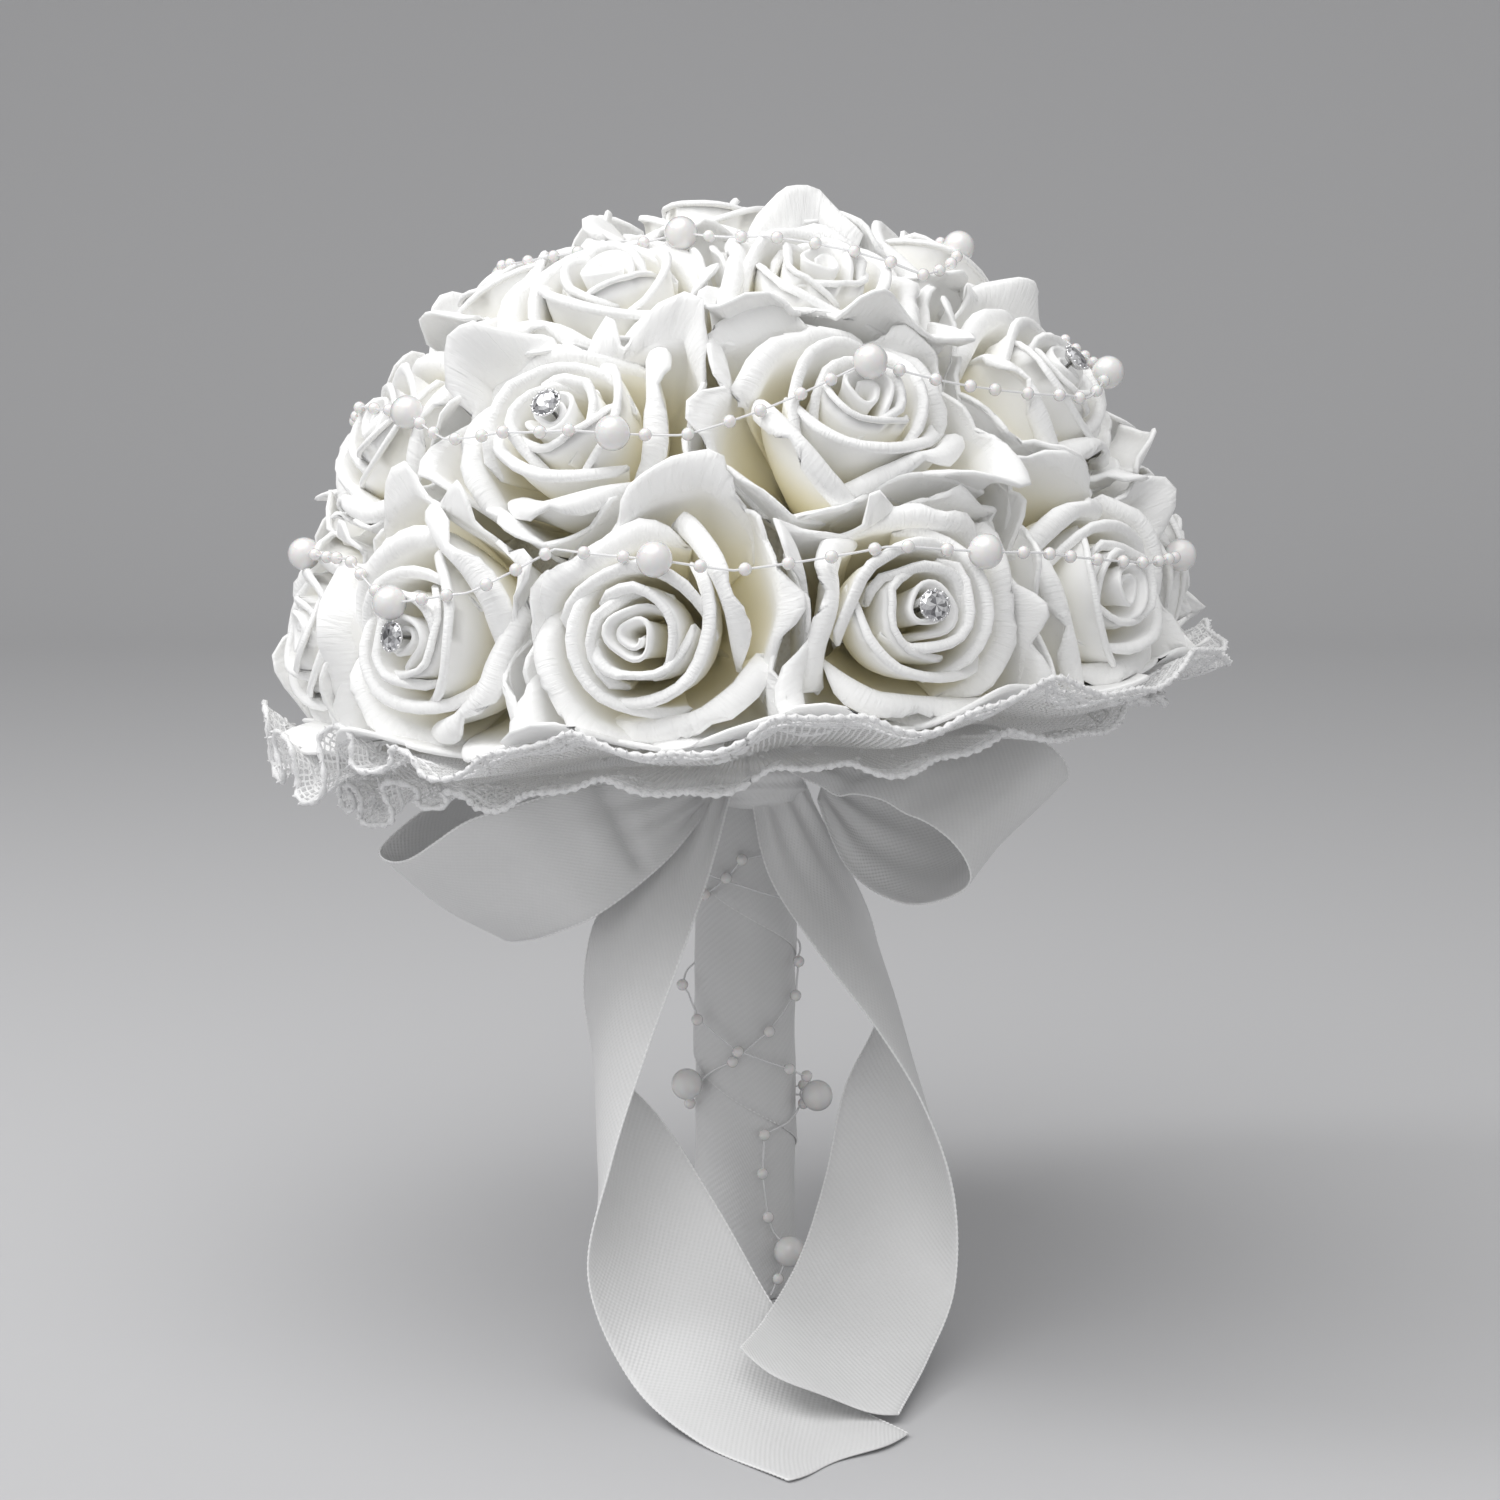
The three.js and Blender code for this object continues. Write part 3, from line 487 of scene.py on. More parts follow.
def foam_material():
    """Soft white closed-cell foam with a fine grain and wrinkles on rolled lips, and ivory painted shade in
    the depths.
    """
    m = Nodes("petal_foam", (0.98, 0.98, 0.975), 0.55)
    m.set("Specular IOR Level", 0.4)
    place = m.place()
    # Painted shade: the foam turns ivory towards the petals' roots and the bud's foot, a warm tint that
    # stands in for light bounced deep in the rose; a random cloud mottles it.
    tone = m.add("Attribute", attribute_name="tone").outputs["Fac"]
    cloud = m.noise(place, 14, 2.0)
    shade_and_mottle = m.math("ADD", tone, m.math("MULTIPLY", m.math("SUBTRACT", cloud, 0.5), 0.5))
    painted_ivory_shade = m.ramp(
        shade_and_mottle,
        (0.1, (0.985, 0.985, 0.98)),
        (0.35, (0.985, 0.98, 0.945)),
        (0.6, (0.985, 0.96, 0.86)),
        (1.0, (0.98, 0.94, 0.77)),
    )
    m.drive("Base Color", painted_ivory_shade)
    flat = m.flat()
    lip = m.math("GREATER_THAN", m.fed("SeparateXYZ", flat).outputs["Y"], LIP_START)
    plane = {"noise_dimensions": "2D"}
    wrinkle = m.fed("TexNoise", flat, plane, Scale=1.5, Detail=2.0, Distortion=0.4)
    crossed = m.math("MULTIPLY", lip, wrinkle.outputs["Fac"])
    fine = m.bump(crossed, 0.35, 0.7)
    grain = m.bump(m.noise(place, 0.5, 4.0, 0.6), 0.05, 0.6, after=fine)
    m.bump(m.noise(place, 6, 2.0), 0.25, 0.5, after=grain)
    return m.material


def satin_material(name, color):
    """Polyester satin: fine slanting threads and a soft sheen."""
    m = Nodes(name, color, 0.4, Sheen_Weight=0.25, Sheen_Roughness=0.4, Anisotropic=0.5)
    m.set("Specular IOR Level", 0.6)
    flat = m.flat()
    turned = m.fed("Mapping", flat, Scale=(-1, 1, 1)).outputs["Vector"]
    slanting = {"wave_type": "BANDS", "bands_direction": "DIAGONAL"}
    threads = []
    for source, size, strength in ((flat, 0.42, 0.75), (turned, 0.5, 0.35)):
        band = m.fed("TexWave", source, slanting, Scale=size, Distortion=0.3, Detail=1.0)
        threads.append(m.math("MULTIPLY", band.outputs["Fac"], strength))
    weave = m.math("ADD", *threads)
    shade = m.fed("TexNoise", flat, Scale=0.05, Detail=2.0)
    tint = m.ramp(
        m.math("ADD", m.math("MULTIPLY", weave, 0.3), m.math("MULTIPLY", shade.outputs["Fac"], 0.6)),
        (0.2, tuple(0.93 * c for c in color)),
        (0.75, color),
    )
    m.drive("Base Color", tint)
    m.bump(weave, 0.09, 0.8)
    return m.material


def net_material():
    """Sheer net: a fine honeycomb of threads that the light comes through."""
    m = Nodes("lace_net", (0.96, 0.96, 0.96), 0.6, Sheen_Weight=0.4)
    edges = {"voronoi_dimensions": "2D", "feature": "DISTANCE_TO_EDGE"}
    cells = m.fed("TexVoronoi", m.flat(), edges, Scale=0.8, Randomness=0.25)
    thread = m.math("LESS_THAN", cells.outputs["Distance"], 0.13)
    m.drive("Alpha", m.math("ADD", m.math("MULTIPLY", thread, 0.7), 0.15))
    m.bump(thread, 0.08, 0.5)
    return m.material


def thread_material():
    """Glossy embroidery thread, twisted."""
    m = Nodes("lace_thread", (0.95, 0.95, 0.95), 0.4, Sheen_Weight=0.3)
    twist = m.noise(m.place(), 0.35, 2.0)
    m.drive("Base Color", m.ramp(twist, (0.3, (0.80, 0.80, 0.81)), (0.6, (0.97, 0.97, 0.97))))
    m.bump(twist, 0.2, 0.9)
    return m.material


def pearl_material():
    """Glossy plastic pearl with painted shade that darkens it towards its outline."""
    m = Nodes("pearl", (0.92, 0.91, 0.90), 0.15, Coat_Weight=1.0, Coat_Roughness=0.03)
    m.set("Subsurface Weight", 0.2)
    m.set("Subsurface Scale", 0.001)
    facing = m.add("LayerWeight")
    facing.inputs["Blend"].default_value = 0.35
    # Painted shade: the pearl's colour darkens from its centre to its outline, depending on the angle it is
    # seen at.
    painted_rim_shade = m.ramp(
        facing.outputs["Facing"],
        (0.0, (0.88, 0.87, 0.86)),
        (0.35, (0.8, 0.79, 0.78)),
        (0.9, (0.5, 0.49, 0.5)),
    )
    m.drive("Base Color", painted_rim_shade)
    m.bump(m.noise(m.place(), 1.4, 2.0), 0.03, 0.5)
    return m.material


def crystal_material():
    """Foil-backed cut glass with painted reflections: bright and dark facets."""
    m = Nodes("crystal", (0.8, 0.82, 0.85), 0.04, Metallic=0.85, Coat_Weight=1.0)
    tone = m.add("Attribute", attribute_name="tone").outputs["Fac"]
    # Painted reflections: each facet's random value paints it from near black to bright, in place of what the
    # cut glass would mirror.
    facets = m.ramp(tone, (0.0, (0.08, 0.08, 0.09)), (0.5, (0.5, 0.5, 0.52)), (1.0, (0.97, 0.98, 1.0)))
    m.drive("Base Color", facets)
    m.bump(m.noise(m.place(), 2.0, 1.0), 0.02, 0.3)
    return m.material


def core_material():
    """Open-pored foam."""
    m = Nodes("foam_core_finish", (0.95, 0.94, 0.9), 0.9)
    pores = m.fed("TexVoronoi", m.place(), Scale=900).outputs["Distance"]
    m.drive("Base Color", m.ramp(pores, (0.0, (0.84, 0.82, 0.76)), (0.5, (0.96, 0.95, 0.91))))
    m.bump(pores, 0.4, 0.8)
    return m.material


# Where the roses stand


def sight(azimuth, elevation):
    """The unit direction from the head's centre at an azimuth from the front and an elevation."""
    return from_front(math.cos(elevation), azimuth, math.sin(elevation))


def wall_wave(points, normal):
    """How far the wavy wall that two roses share stands from the flat one between them."""
    facing = 1 if normal @ WALL_HAND > 0 else -1
    grown = np.clip((np.linalg.norm(points, axis=-1) - WALL_WAVE_FROM) / 20, 0, 1)
    return facing * WALL_WAVE * grown * np.sin(points @ WALL_GRAIN + 9 * (normal @ WALL_HAND) ** 2)


def room_at(place, angle):
    """How far a rose's lips can go in the directions given before they meet a neighbour or the lace."""
    angle = np.asarray(angle, float)
    side = around(1, angle, 0) @ place["turn"].T
    room = np.full(angle.shape, float(PETAL_REACH[1]))
    for normal in place["neighbours"]:
        slope = side @ normal
        meets = slope > LEAST_SLOPE
        to_plane = -LIP_LEVEL * (place["direction"] @ normal)
        wave = 0
        for _ in range(3):
            limit = (to_plane + wave) / np.where(meets, slope, 1)
            wave = wall_wave(place["direction"] * LIP_LEVEL + side * limit[..., None], normal)
        room = np.where(meets, np.minimum(room, limit), room)
    down = -side[..., 2]
    meets = down > LEAST_SLOPE
    limit = (LIP_LEVEL * place["direction"][2] + LIP_DROP) / np.where(meets, down, 1)
    room = np.where(meets, np.minimum(room, limit), room)
    return np.maximum(room, PETAL_REACH[0])


def rose_places():
    """A direction for each rose, its neighbours, and a turn that points its tips into the widest room."""
    places = []
    for count, elevation, phase in RINGS:
        for k in range(count):
            azimuth = math.radians(phase + 360 * k / count)
            places.append({"direction": sight(azimuth, math.radians(elevation))})
    for place in places:
        direction = place["direction"]
        near = [
            other["direction"] - direction
            for other in places
            if other is not place and other["direction"] @ direction > NEAR
        ]
        place["neighbours"] = unit(np.array(near))
        upright = Vector((0, 0, 1)).rotation_difference(Vector(direction)).to_matrix()
        best = -1
        tips = (np.arange(OUTER_PETALS) + 0.5) * 2 * np.pi / OUTER_PETALS
        for turn in range(0, 360 // OUTER_PETALS, 4):
            tried = {**place, "turn": np.array(upright @ Matrix.Rotation(math.radians(turn), 3, "Z"))}
            total = room_at(tried, tips).sum()
            if total > best:
                best = total
                place["turn"] = tried["turn"]
    return places


def lace_height(lace, radius, azimuth):
    """The lace's height over the head's own plane, at a radius and a direction from the front."""
    ripple = np.sin(LACE_WAVES * azimuth + 0.8 * np.sin(2 * azimuth))
    wave = LACE_WAVE * ripple * np.maximum((radius - 50) / 70, 0) ** 1.5
    mean, front, right = lace["rise"]
    rise = mean + front * np.cos(azimuth) + right * np.sin(azimuth)
    share = np.maximum((radius - lace["start"]) / lace["over"], 0)
    return lace["level"] + rise * share ** lace["power"] + wave


def settle(points, neighbours, margin):
    """Bends points clear of the wavy walls that neighbouring roses share, and of the lace below."""
    for _ in range(3):
        for normal in neighbours:
            over_lips = OVER_LIPS_PACE * np.maximum(np.linalg.norm(points, axis=1) - OVER_LIPS, 0)
            start = wall_wave(points, normal) - margin - CELL_SOFT + over_lips
            over = np.maximum(points @ normal - start, 0)
            points = points + (CELL_SOFT * (1 - np.exp(-over / CELL_SOFT)) - over)[:, None] * normal
        azimuth = np.arctan2(points[:, 0], -points[:, 1])
        lace = lace_height(LACES["upper"], np.hypot(points[:, 0], points[:, 1]), azimuth)
        floor = lace + ABOVE_LACE + CELL_SOFT
        under = np.maximum(floor - points[:, 2], 0)
        points[:, 2] += under - CELL_SOFT * (1 - np.exp(-under / CELL_SOFT))
    return points


# Where the head's pearl string runs


def direction_at(turn):
    turns, elevations = zip(*HEAD_STRING)
    return sight(2 * math.pi * turn - math.pi, math.radians(np.interp(turn, turns, elevations)))


STRING_PATH = np.array([direction_at(turn) for turn in np.linspace(0, HEAD_STRING[-1][0], 400)])


def string_distance(point):
    """The angle from a point's direction to the pearl string."""
    return float(np.arccos(np.clip(STRING_PATH @ point / np.linalg.norm(point), -1, 1)).min())


# Roses


# The rows of petals from the heart out. The profile is (radius, height) from root to lip, and the lip's roll
# has a radius and an angle. fall and power lower a petal's sides, swirl turns one side in and corner stands
# both out. give is how far the lips fill the room that there is.
ROWS = [
    dict(petals=3, width=1.7, profile=[(4, 12), (8.0, 27), (8.8, 36), (8.4, 44.3)], roll=0.7, rolled=120,
         fall=0.26, power=2.0, swirl=1.0, corner=0.2, tip=0, give=0.5, grid=(7, 13)),
    dict(petals=3, width=1.6, profile=[(6, 8), (11.5, 22), (13.6, 33), (14.0, 42.8)], roll=0.9, rolled=140,
         fall=0.3, power=1.9, swirl=1.4, corner=0.26, tip=0.4, give=0.2, grid=(7, 15)),
    dict(petals=4, width=1.35, profile=[(7, 4), (14.5, 17), (18.2, 28), (19.0, 38.6)], roll=2.0, rolled=265,
         fall=0.3, power=1.7, swirl=1.6, corner=0.24, tip=1.2, give=0.5, grid=(8, 17)),
    dict(petals=5, width=1.45, profile=[(7, 1), (17.5, 13), (23.5, 25), (26.4, 35.5)], roll=1.3, rolled=140,
         fall=0.36, power=1.5, swirl=1.2, corner=0.05, tip=5.5, give=1, turned=0, grid=(8, 21)),
    dict(petals=5, width=1.25, profile=[(7, 1), (18, 11), (24, 21), (26.6, 31.5)], roll=1.0, rolled=85,
         fall=0.3, power=1.7, swirl=0.8, corner=0, tip=6, give=1, turned=0.5, grid=(7, 19)),
]
ROLL_STEPS = 5
FLARE_WIDER = 4  # how much wider a lip rolls where it flares
FLARE_UP = 5
LOW_LIP = 8  # lips below this height over the head's plane lie on the lace and always flare
STRING_CLEAR = 0.11  # lips nearer to the pearl string than this angle don't flare
SHARE_OF_ROOM = 1.1  # the inner petals open to no more than this share of their profile
# Ranges of the draws that make the petals differ
SPREAD = dict(
    place=(-0.1, 0.1), width=(0.92, 1.1), fall=(0.8, 1.2), skew=(-0.22, 0.22), curl=(0.65, 1.1),
    roll=(0.85, 1.2), tip=(0.5, 1.25), flare=(-0.7, 1.2), tip_bend=(0.1, 0.8), height=(-1.2, 1.2),
    wave=(0, 6), creases=(1.0, 2.4), opened=(0.9, 1.12), lean=(2, 8), turn=(0, 6.28), bud_turns=(1.5, 2.1),
)


def petal_grid(place, row, k, turn, draw, opened, base):
    """One petal in the rose's frame, from root to rolled lip: its grid, painted shade and flat coordinates.
    """

    def pick(name, size=None):
        return draw.uniform(*SPREAD[name], size)

    length, columns = row["grid"]
    u = np.linspace(-1, 1, columns)
    loose = row["give"] == 1
    centre = (k + 0.5) * 2 * np.pi / row["petals"] + turn + pick("place")
    half = row["width"] * np.pi / row["petals"] * pick("width")
    fall = row["fall"] * pick("fall")
    lean = u - pick("skew") * (1 - u * u)
    top = 1 - fall * np.abs(lean) ** row["power"]
    s = np.linspace(0, 1, length)[:, None] * top
    curve = smooth_line(row["profile"], s)
    end = curve[-1]
    ahead = unit(end - smooth_line(row["profile"], top - 0.04))
    outward = np.stack([ahead[:, 1], -ahead[:, 0]], -1)
    free = np.clip((u + 1) / 0.5, 0, 1) * np.clip((1 - u) / 0.12, 0.4, 1)
    tip = np.exp(-((lean / 0.2) ** 2))
    curl = np.where(lean < 0, *pick("curl", 2))
    rolled = math.radians(row["rolled"]) * free * (1 - 0.6 * tip * (row["tip"] > 1)) * curl
    radius = row["roll"] * pick("roll") * (0.35 + 0.65 * free) * (1 - 0.25 * tip)
    steps = np.linspace(0, 1, ROLL_STEPS + 1)[1:, None]
    point = row["tip"] * pick("tip")
    flare = 0
    if loose:
        aim = place["turn"] @ around(LIP_R, centre, LIP_HEIGHT) + base
        low = aim[2] < LOW_LIP
        flare = max(pick("flare"), 0.8 * low) * (low or string_distance(aim) > STRING_CLEAR)
    rolled = rolled * (1 - 0.3 * flare)
    radius = radius + FLARE_WIDER * flare * free
    point = point * (1 + 0.4 * flare)
    phi = steps * rolled
    arc = (
        end
        + (radius * np.sin(phi))[..., None] * ahead
        + (radius * (1 - np.cos(phi)))[..., None] * outward
    )
    arc[..., 0] += steps * tip * point * 0.8
    arc[..., 1] += steps * tip * point * pick("tip_bend")
    r, z = np.moveaxis(np.concatenate([curve, arc]), -1, 0)
    height = np.clip(z / LIP_HEIGHT, 0, 1)
    angle = centre + u * half * (0.55 + 0.45 * height)
    reach = room_at(place, angle) / LIP_R
    if not loose:
        reach = np.minimum(reach, SHARE_OF_ROOM) * opened
    r = r * (1 + (reach - 1) * np.clip(height * 1.3, 0, 1) * row["give"])
    r = r * (1 + row["corner"] * np.abs(u) ** 2.5 * height) + row["swirl"] * u
    z = z + pick("height") * height + 0.5 * np.sin(2.3 * angle + pick("wave")) * height
    if loose:
        z = z - np.maximum(reach * LIP_R - DROOP_R, 0) * 0.35 * height
        crease = np.sin(pick("creases") * np.pi * u + pick("wave"))
        z = z + 0.9 * crease * height**2 + FLARE_UP * flare * height**3 * (1 - u * u)
    rolls = np.broadcast_to(steps, (ROLL_STEPS, columns))
    # Painted shade: ivory that deepens towards the petal's root; the rolled lip has none.
    tones = np.concatenate([np.clip(1.45 * (1 - s), 0, 1), 0 * rolls])
    flats = stacked(u * half * 20 + 50 * k, np.concatenate([s, 1 + rolls]))
    return around(r, angle, z), tones, flats


def bud_grid(turn, draw):
    """The rolled heart of a rose: a strip that winds inwards."""
    columns, rows = 44, 6
    t = np.linspace(0, 1, columns)
    angle = turn + t * 2 * np.pi * draw.uniform(*SPREAD["bud_turns"])
    lift = np.linspace(0, 1, rows)[:, None]
    radius = (BUD_R - 5.2 * t**0.8) * (0.8 + 0.2 * lift)
    radius = radius + 0.6 * np.clip((lift - 0.7) / 0.3, 0, 1) ** 2
    top = BUD_TOP + 0.9 * np.sin(1.7 * angle + turn) * (1 - t) - 1.6 * t - 9 * np.exp(-t / 0.03)
    z = BUD_FOOT + (top - BUD_FOOT) * lift
    squash = 1 + 0.1 * np.cos(3 * angle + turn)
    # Painted shade: ivory that deepens towards the bud's foot.
    tones = np.clip(1.3 - lift * 1.3, 0, 1) * np.ones((rows, columns))
    return around(radius * squash, angle, z), tones, stacked(angle * 6, lift)


def rose(place, number):
    """A rose of its own draw. Its heart leans over, unless it holds a pin."""
    draw = np.random.default_rng(100 + number)
    parts = Parts()
    base = place["direction"] * (HEAD_R - ROSE_DEPTH)
    opened = draw.uniform(*SPREAD["opened"])
    lean = 0 if number in PINNED else math.radians(draw.uniform(*SPREAD["lean"]))
    heart = np.array(Matrix.Rotation(lean, 3, unit(np.array([*draw.uniform(-1, 1, 2), 0]))))

    def add(grid, tones, flats, thickness, leaning):
        points = grid.reshape(-1, 3)
        if leaning:
            points = (points - [0, 0, LEAN_FROM]) @ heart.T + [0, 0, LEAN_FROM]
        settled = settle(points @ place["turn"].T + base, place["neighbours"], GAP + PETAL_T / 2)
        add_sheet(parts, to_world(settled).reshape(grid.shape), thickness, flats, tones)

    add(*bud_grid(draw.uniform(*SPREAD["turn"]), draw), THIN_PETAL_T, True)
    for row in ROWS:
        loose = row["give"] == 1
        turn = row["turned"] * 2 * math.pi / row["petals"] if loose else draw.uniform(*SPREAD["turn"])
        for k in range(row["petals"]):
            petal = petal_grid(place, row, k, turn, draw, opened, base)
            add(*petal, THIN_PETAL_T if loose else PETAL_T, not loose)
    name = f"{number + 1:02d}"
    piece = parts.object("foam_rose_" + name, foam)
    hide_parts("rose_" + name)
    return parts


foam = foam_material()
satin = satin_material("satin_ribbon", (0.76, 0.76, 0.76))
# The selvedge cords are a lighter copy of the satin. This is partly their stitched edge and partly a painted
# highlight that brightens the lines along the ribbon's edges.
satin_edge_highlight = satin_material("satin_selvedge", (0.94, 0.94, 0.94))
net = net_material()
thread = thread_material()
pearl = pearl_material()
line = grained_material("clear_line", (0.93, 0.93, 0.94), 0.15, (0.8, 1.0), 0.02, Coat_Weight=0.5, Alpha=0.75)
crystal = crystal_material()
metal = grained_material("silver_cup", (0.75, 0.75, 0.76), 0.22, (0.4, 2.0), 0.03, Metallic=1.0)

places = rose_places()
roses = [rose(place, number) for number, place in enumerate(places)]


# Crystal pins


def crystal_pin(index, place, number):
    """A brilliant-cut stone in a clawed cup on a pin, pushed into a bud."""
    draw = np.random.default_rng(500 + number)
    facets = 12
    base = place["direction"] * (HEAD_R - ROSE_DEPTH)

    def put(points):
        points = np.asarray(points, float) + [0, 0, CRYSTAL_LEVEL]
        return to_world(points @ place["turn"].T + base)

    def ring(radius, height, shift=0.0, count=facets):
        return around(radius, 2 * np.pi * (np.arange(count) + shift) / count, height)

    girdle = ring(CRYSTAL_R - 0.25, 1.7)
    crown = ring(2.6, 2.45, 0.5)
    table = ring(1.7, 2.75)
    middle = np.array([0, 0, 2.6])
    stone = Parts()
    for k in range(facets):
        n = (k + 1) % facets
        for corners in (
            [girdle[k], girdle[n], crown[k]],
            [crown[k], girdle[n], crown[n]],
            [crown[k], crown[n], table[n]],
            [table[k], crown[k], table[n]],
            [table[k], table[n], middle],
        ):
            # Each facet gets a random painted reflection, dark to bright.
            stone.add(put(corners), [[0, 1, 2]], tones=np.full(3, draw.uniform(0, 1)))
    gem = stone.object(f"crystal_{index:02d}", crystal, smooth=False)
    cup = Parts()
    outline = [
        (0, -PIN_LENGTH), (PIN_R, -PIN_LENGTH + 1), (PIN_R, -0.3), (2.3, 0), (CRYSTAL_R, 1.5),
        (CRYSTAL_R, 1.8), (CRYSTAL_R - 0.4, 1.75), (CRYSTAL_R - 0.5, 1.3), (0, 0.6),
    ]
    sides = 24
    grid = np.array([ring(r, z, 0, sides) for r, z in outline])
    cup.add(put(grid.reshape(-1, 3)), grid_faces(len(outline), sides, 0, True))
    for claw in put(ring(CRYSTAL_R - 0.2, 1.75, 0.5)):
        add_ball(cup, claw, CLAW_R, 8, 6)
    setting = cup.object(f"crystal_cup_{index:02d}", metal)
    for piece in (gem, setting):
        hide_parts(f"crystal_pin_{index:02d}")
    return cup


pins = [crystal_pin(index + 1, places[number], number) for index, number in enumerate(PINNED)]


# Pearl strings


def bead_string(name, path, beads, node):
    """A line with pearls on it. beads are (point, radius)."""
    cord = Parts()
    add_tube(cord, path, LINE_R, 6)
    cord_piece = cord.object(name + "_line", line)
    balls = Parts()
    for centre, radius in beads:
        add_ball(balls, centre, radius, *((24, 15) if radius == LARGE_PEARL_R else (12, 8)))
    ball_piece = balls.object(name + "_pearls", pearl)
    for piece in (cord_piece, ball_piece):
        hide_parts(node)


def resting_radius(tree, direction, radius):
    """How far out, in a direction from the head's centre, a ball must be to lie on the roses."""
    out = HEAD_R + 14
    lowest = HEAD_R - 25
    for _ in range(60):
        spot = to_world(direction * out) * MM
        free = tree.find_nearest(Vector(spot))[3] / MM - radius
        if free < 0.05 or out < lowest:
            return out
        out -= min(free, 4)
    return out


def head_string():
    """The pearl string over the roses: a taut line that rests on their highest lips."""
    points, faces, start = [], [], 0
    for parts in roses + pins:
        points += [Vector(p) * MM for p in np.concatenate(parts.points)]
        faces += [[i + start for i in face] for face in parts.faces]
        start = len(points)
    tree = BVHTree.FromPolygons(points, faces)
    last = HEAD_STRING[-1][0]
    turns = [0.001]
    while turns[-1] < last:
        flat = math.hypot(*direction_at(turns[-1])[:2])
        turns.append(turns[-1] + STRING_STEP / (2 * math.pi * HEAD_R * flat))
    turns = np.array(turns)
    directions = np.array([direction_at(turn) for turn in turns])
    floors = np.array([resting_radius(tree, d, LINE_R + 0.15) for d in directions])

    def taut(floor, rounds=1500):
        reach = floor.copy()
        angle = np.arccos(np.clip(np.sum(directions[:-2] * directions[2:], 1), -1, 1))
        for _ in range(rounds):
            pulled = 2 * np.cos(angle / 2) / (1 / reach[:-2] + 1 / reach[2:])
            reach[1:-1] = np.maximum(floor[1:-1], pulled)
        return reach

    reach = taut(floors)
    along = distances(directions * reach[:, None])
    large = np.interp(LARGE_PEARLS, turns, along)
    beads = []
    ends = np.concatenate([[0], large, [along[-1]]])
    for a, b in zip(ends[:-1], ends[1:]):
        count = max(int(round((b - a) / PEARL_SPACING)), 1)
        beads += [(a + (b - a) * k / count, SMALL_PEARL_R) for k in range(1, count)]
    beads += [(a, LARGE_PEARL_R) for a in large]
    nearest = [int(np.argmin(np.abs(along - place))) for place, _ in beads]
    for k, (_, radius) in zip(nearest, beads):
        sunk = SUNK_LARGE if radius == LARGE_PEARL_R else SUNK_SMALL
        floors[k] = max(floors[k], resting_radius(tree, directions[k], radius * sunk))
    spots = to_world(directions * taut(floors)[:, None])
    centres = [(spots[k], radius) for k, (_, radius) in zip(nearest, beads)]
    bead_string("head_string", spots, centres, "pearl_string_head")


def handle_string():
    """The pearl string round the handle: up in crossing turns and down again over them."""
    heights = [row[1] for row in HANDLE_STRING]
    highest = heights.index(max(heights))
    path, beads = [], []
    for i, (degrees, height, size) in enumerate(HANDLE_STRING):
        after = HANDLE_STRING[min(i + 1, len(HANDLE_STRING) - 1)]
        spans = max(1, math.ceil(abs(after[0] - degrees) / STRING_TURN))
        for k in range(spans):
            share = k / spans
            swell = PEARL_SIZES[size] * max(1 - 3 * share, 0)
            swell = max(swell, PEARL_SIZES[after[2]] * max(3 * share - 2, 0), PEARL_SIZES[0])
            radius = HANDLE_R + 0.35 + swell + (CROSSING_LIFT if i > highest else 0)
            angle = math.radians(degrees + (after[0] - degrees) * share)
            path.append(from_front(radius, angle, height + (after[1] - height) * share))
            if k == 0 and size:
                beads.append((path[-1], PEARL_SIZES[size]))
    bead_string("handle_string", np.array(path), beads, "pearl_string_handle")


head_string()
handle_string()


# Satin bow and wrap


def add_selvedge(parts, path, radius):
    """A ribbon's stitched edge: a thin cord that swells at each stitch."""
    steps = distances(path)
    count = int(steps[-1] / STITCH) * 4
    even = np.linspace(0, steps[-1], count)
    fine = stacked(*(np.interp(even, steps, path[:, axis]) for axis in range(3)))
    swell = radius * (0.75 + 0.45 * (np.arange(count) % 4 < 2))
    add_tube(parts, fine, swell, 5)


def ribbon_grid(rows, length, width):
    """A smooth grid through a table of rows, and how far along and across each of its points is."""
    rows = np.array(rows, float)
    t = np.linspace(0, 1, length)
    edge, middle, other = (smooth_line(rows[:, k], t)[:, None] for k in range(3))
    u = np.linspace(0, 1, width)[None, :, None]
    grid = edge * (1 - u) * (1 - 2 * u) + middle * 4 * u * (1 - u) + other * u * (2 * u - 1)
    return grid, stacked(u[0].T * RIBBON_WIDTH, distances(grid[:, width // 2])[:, None])


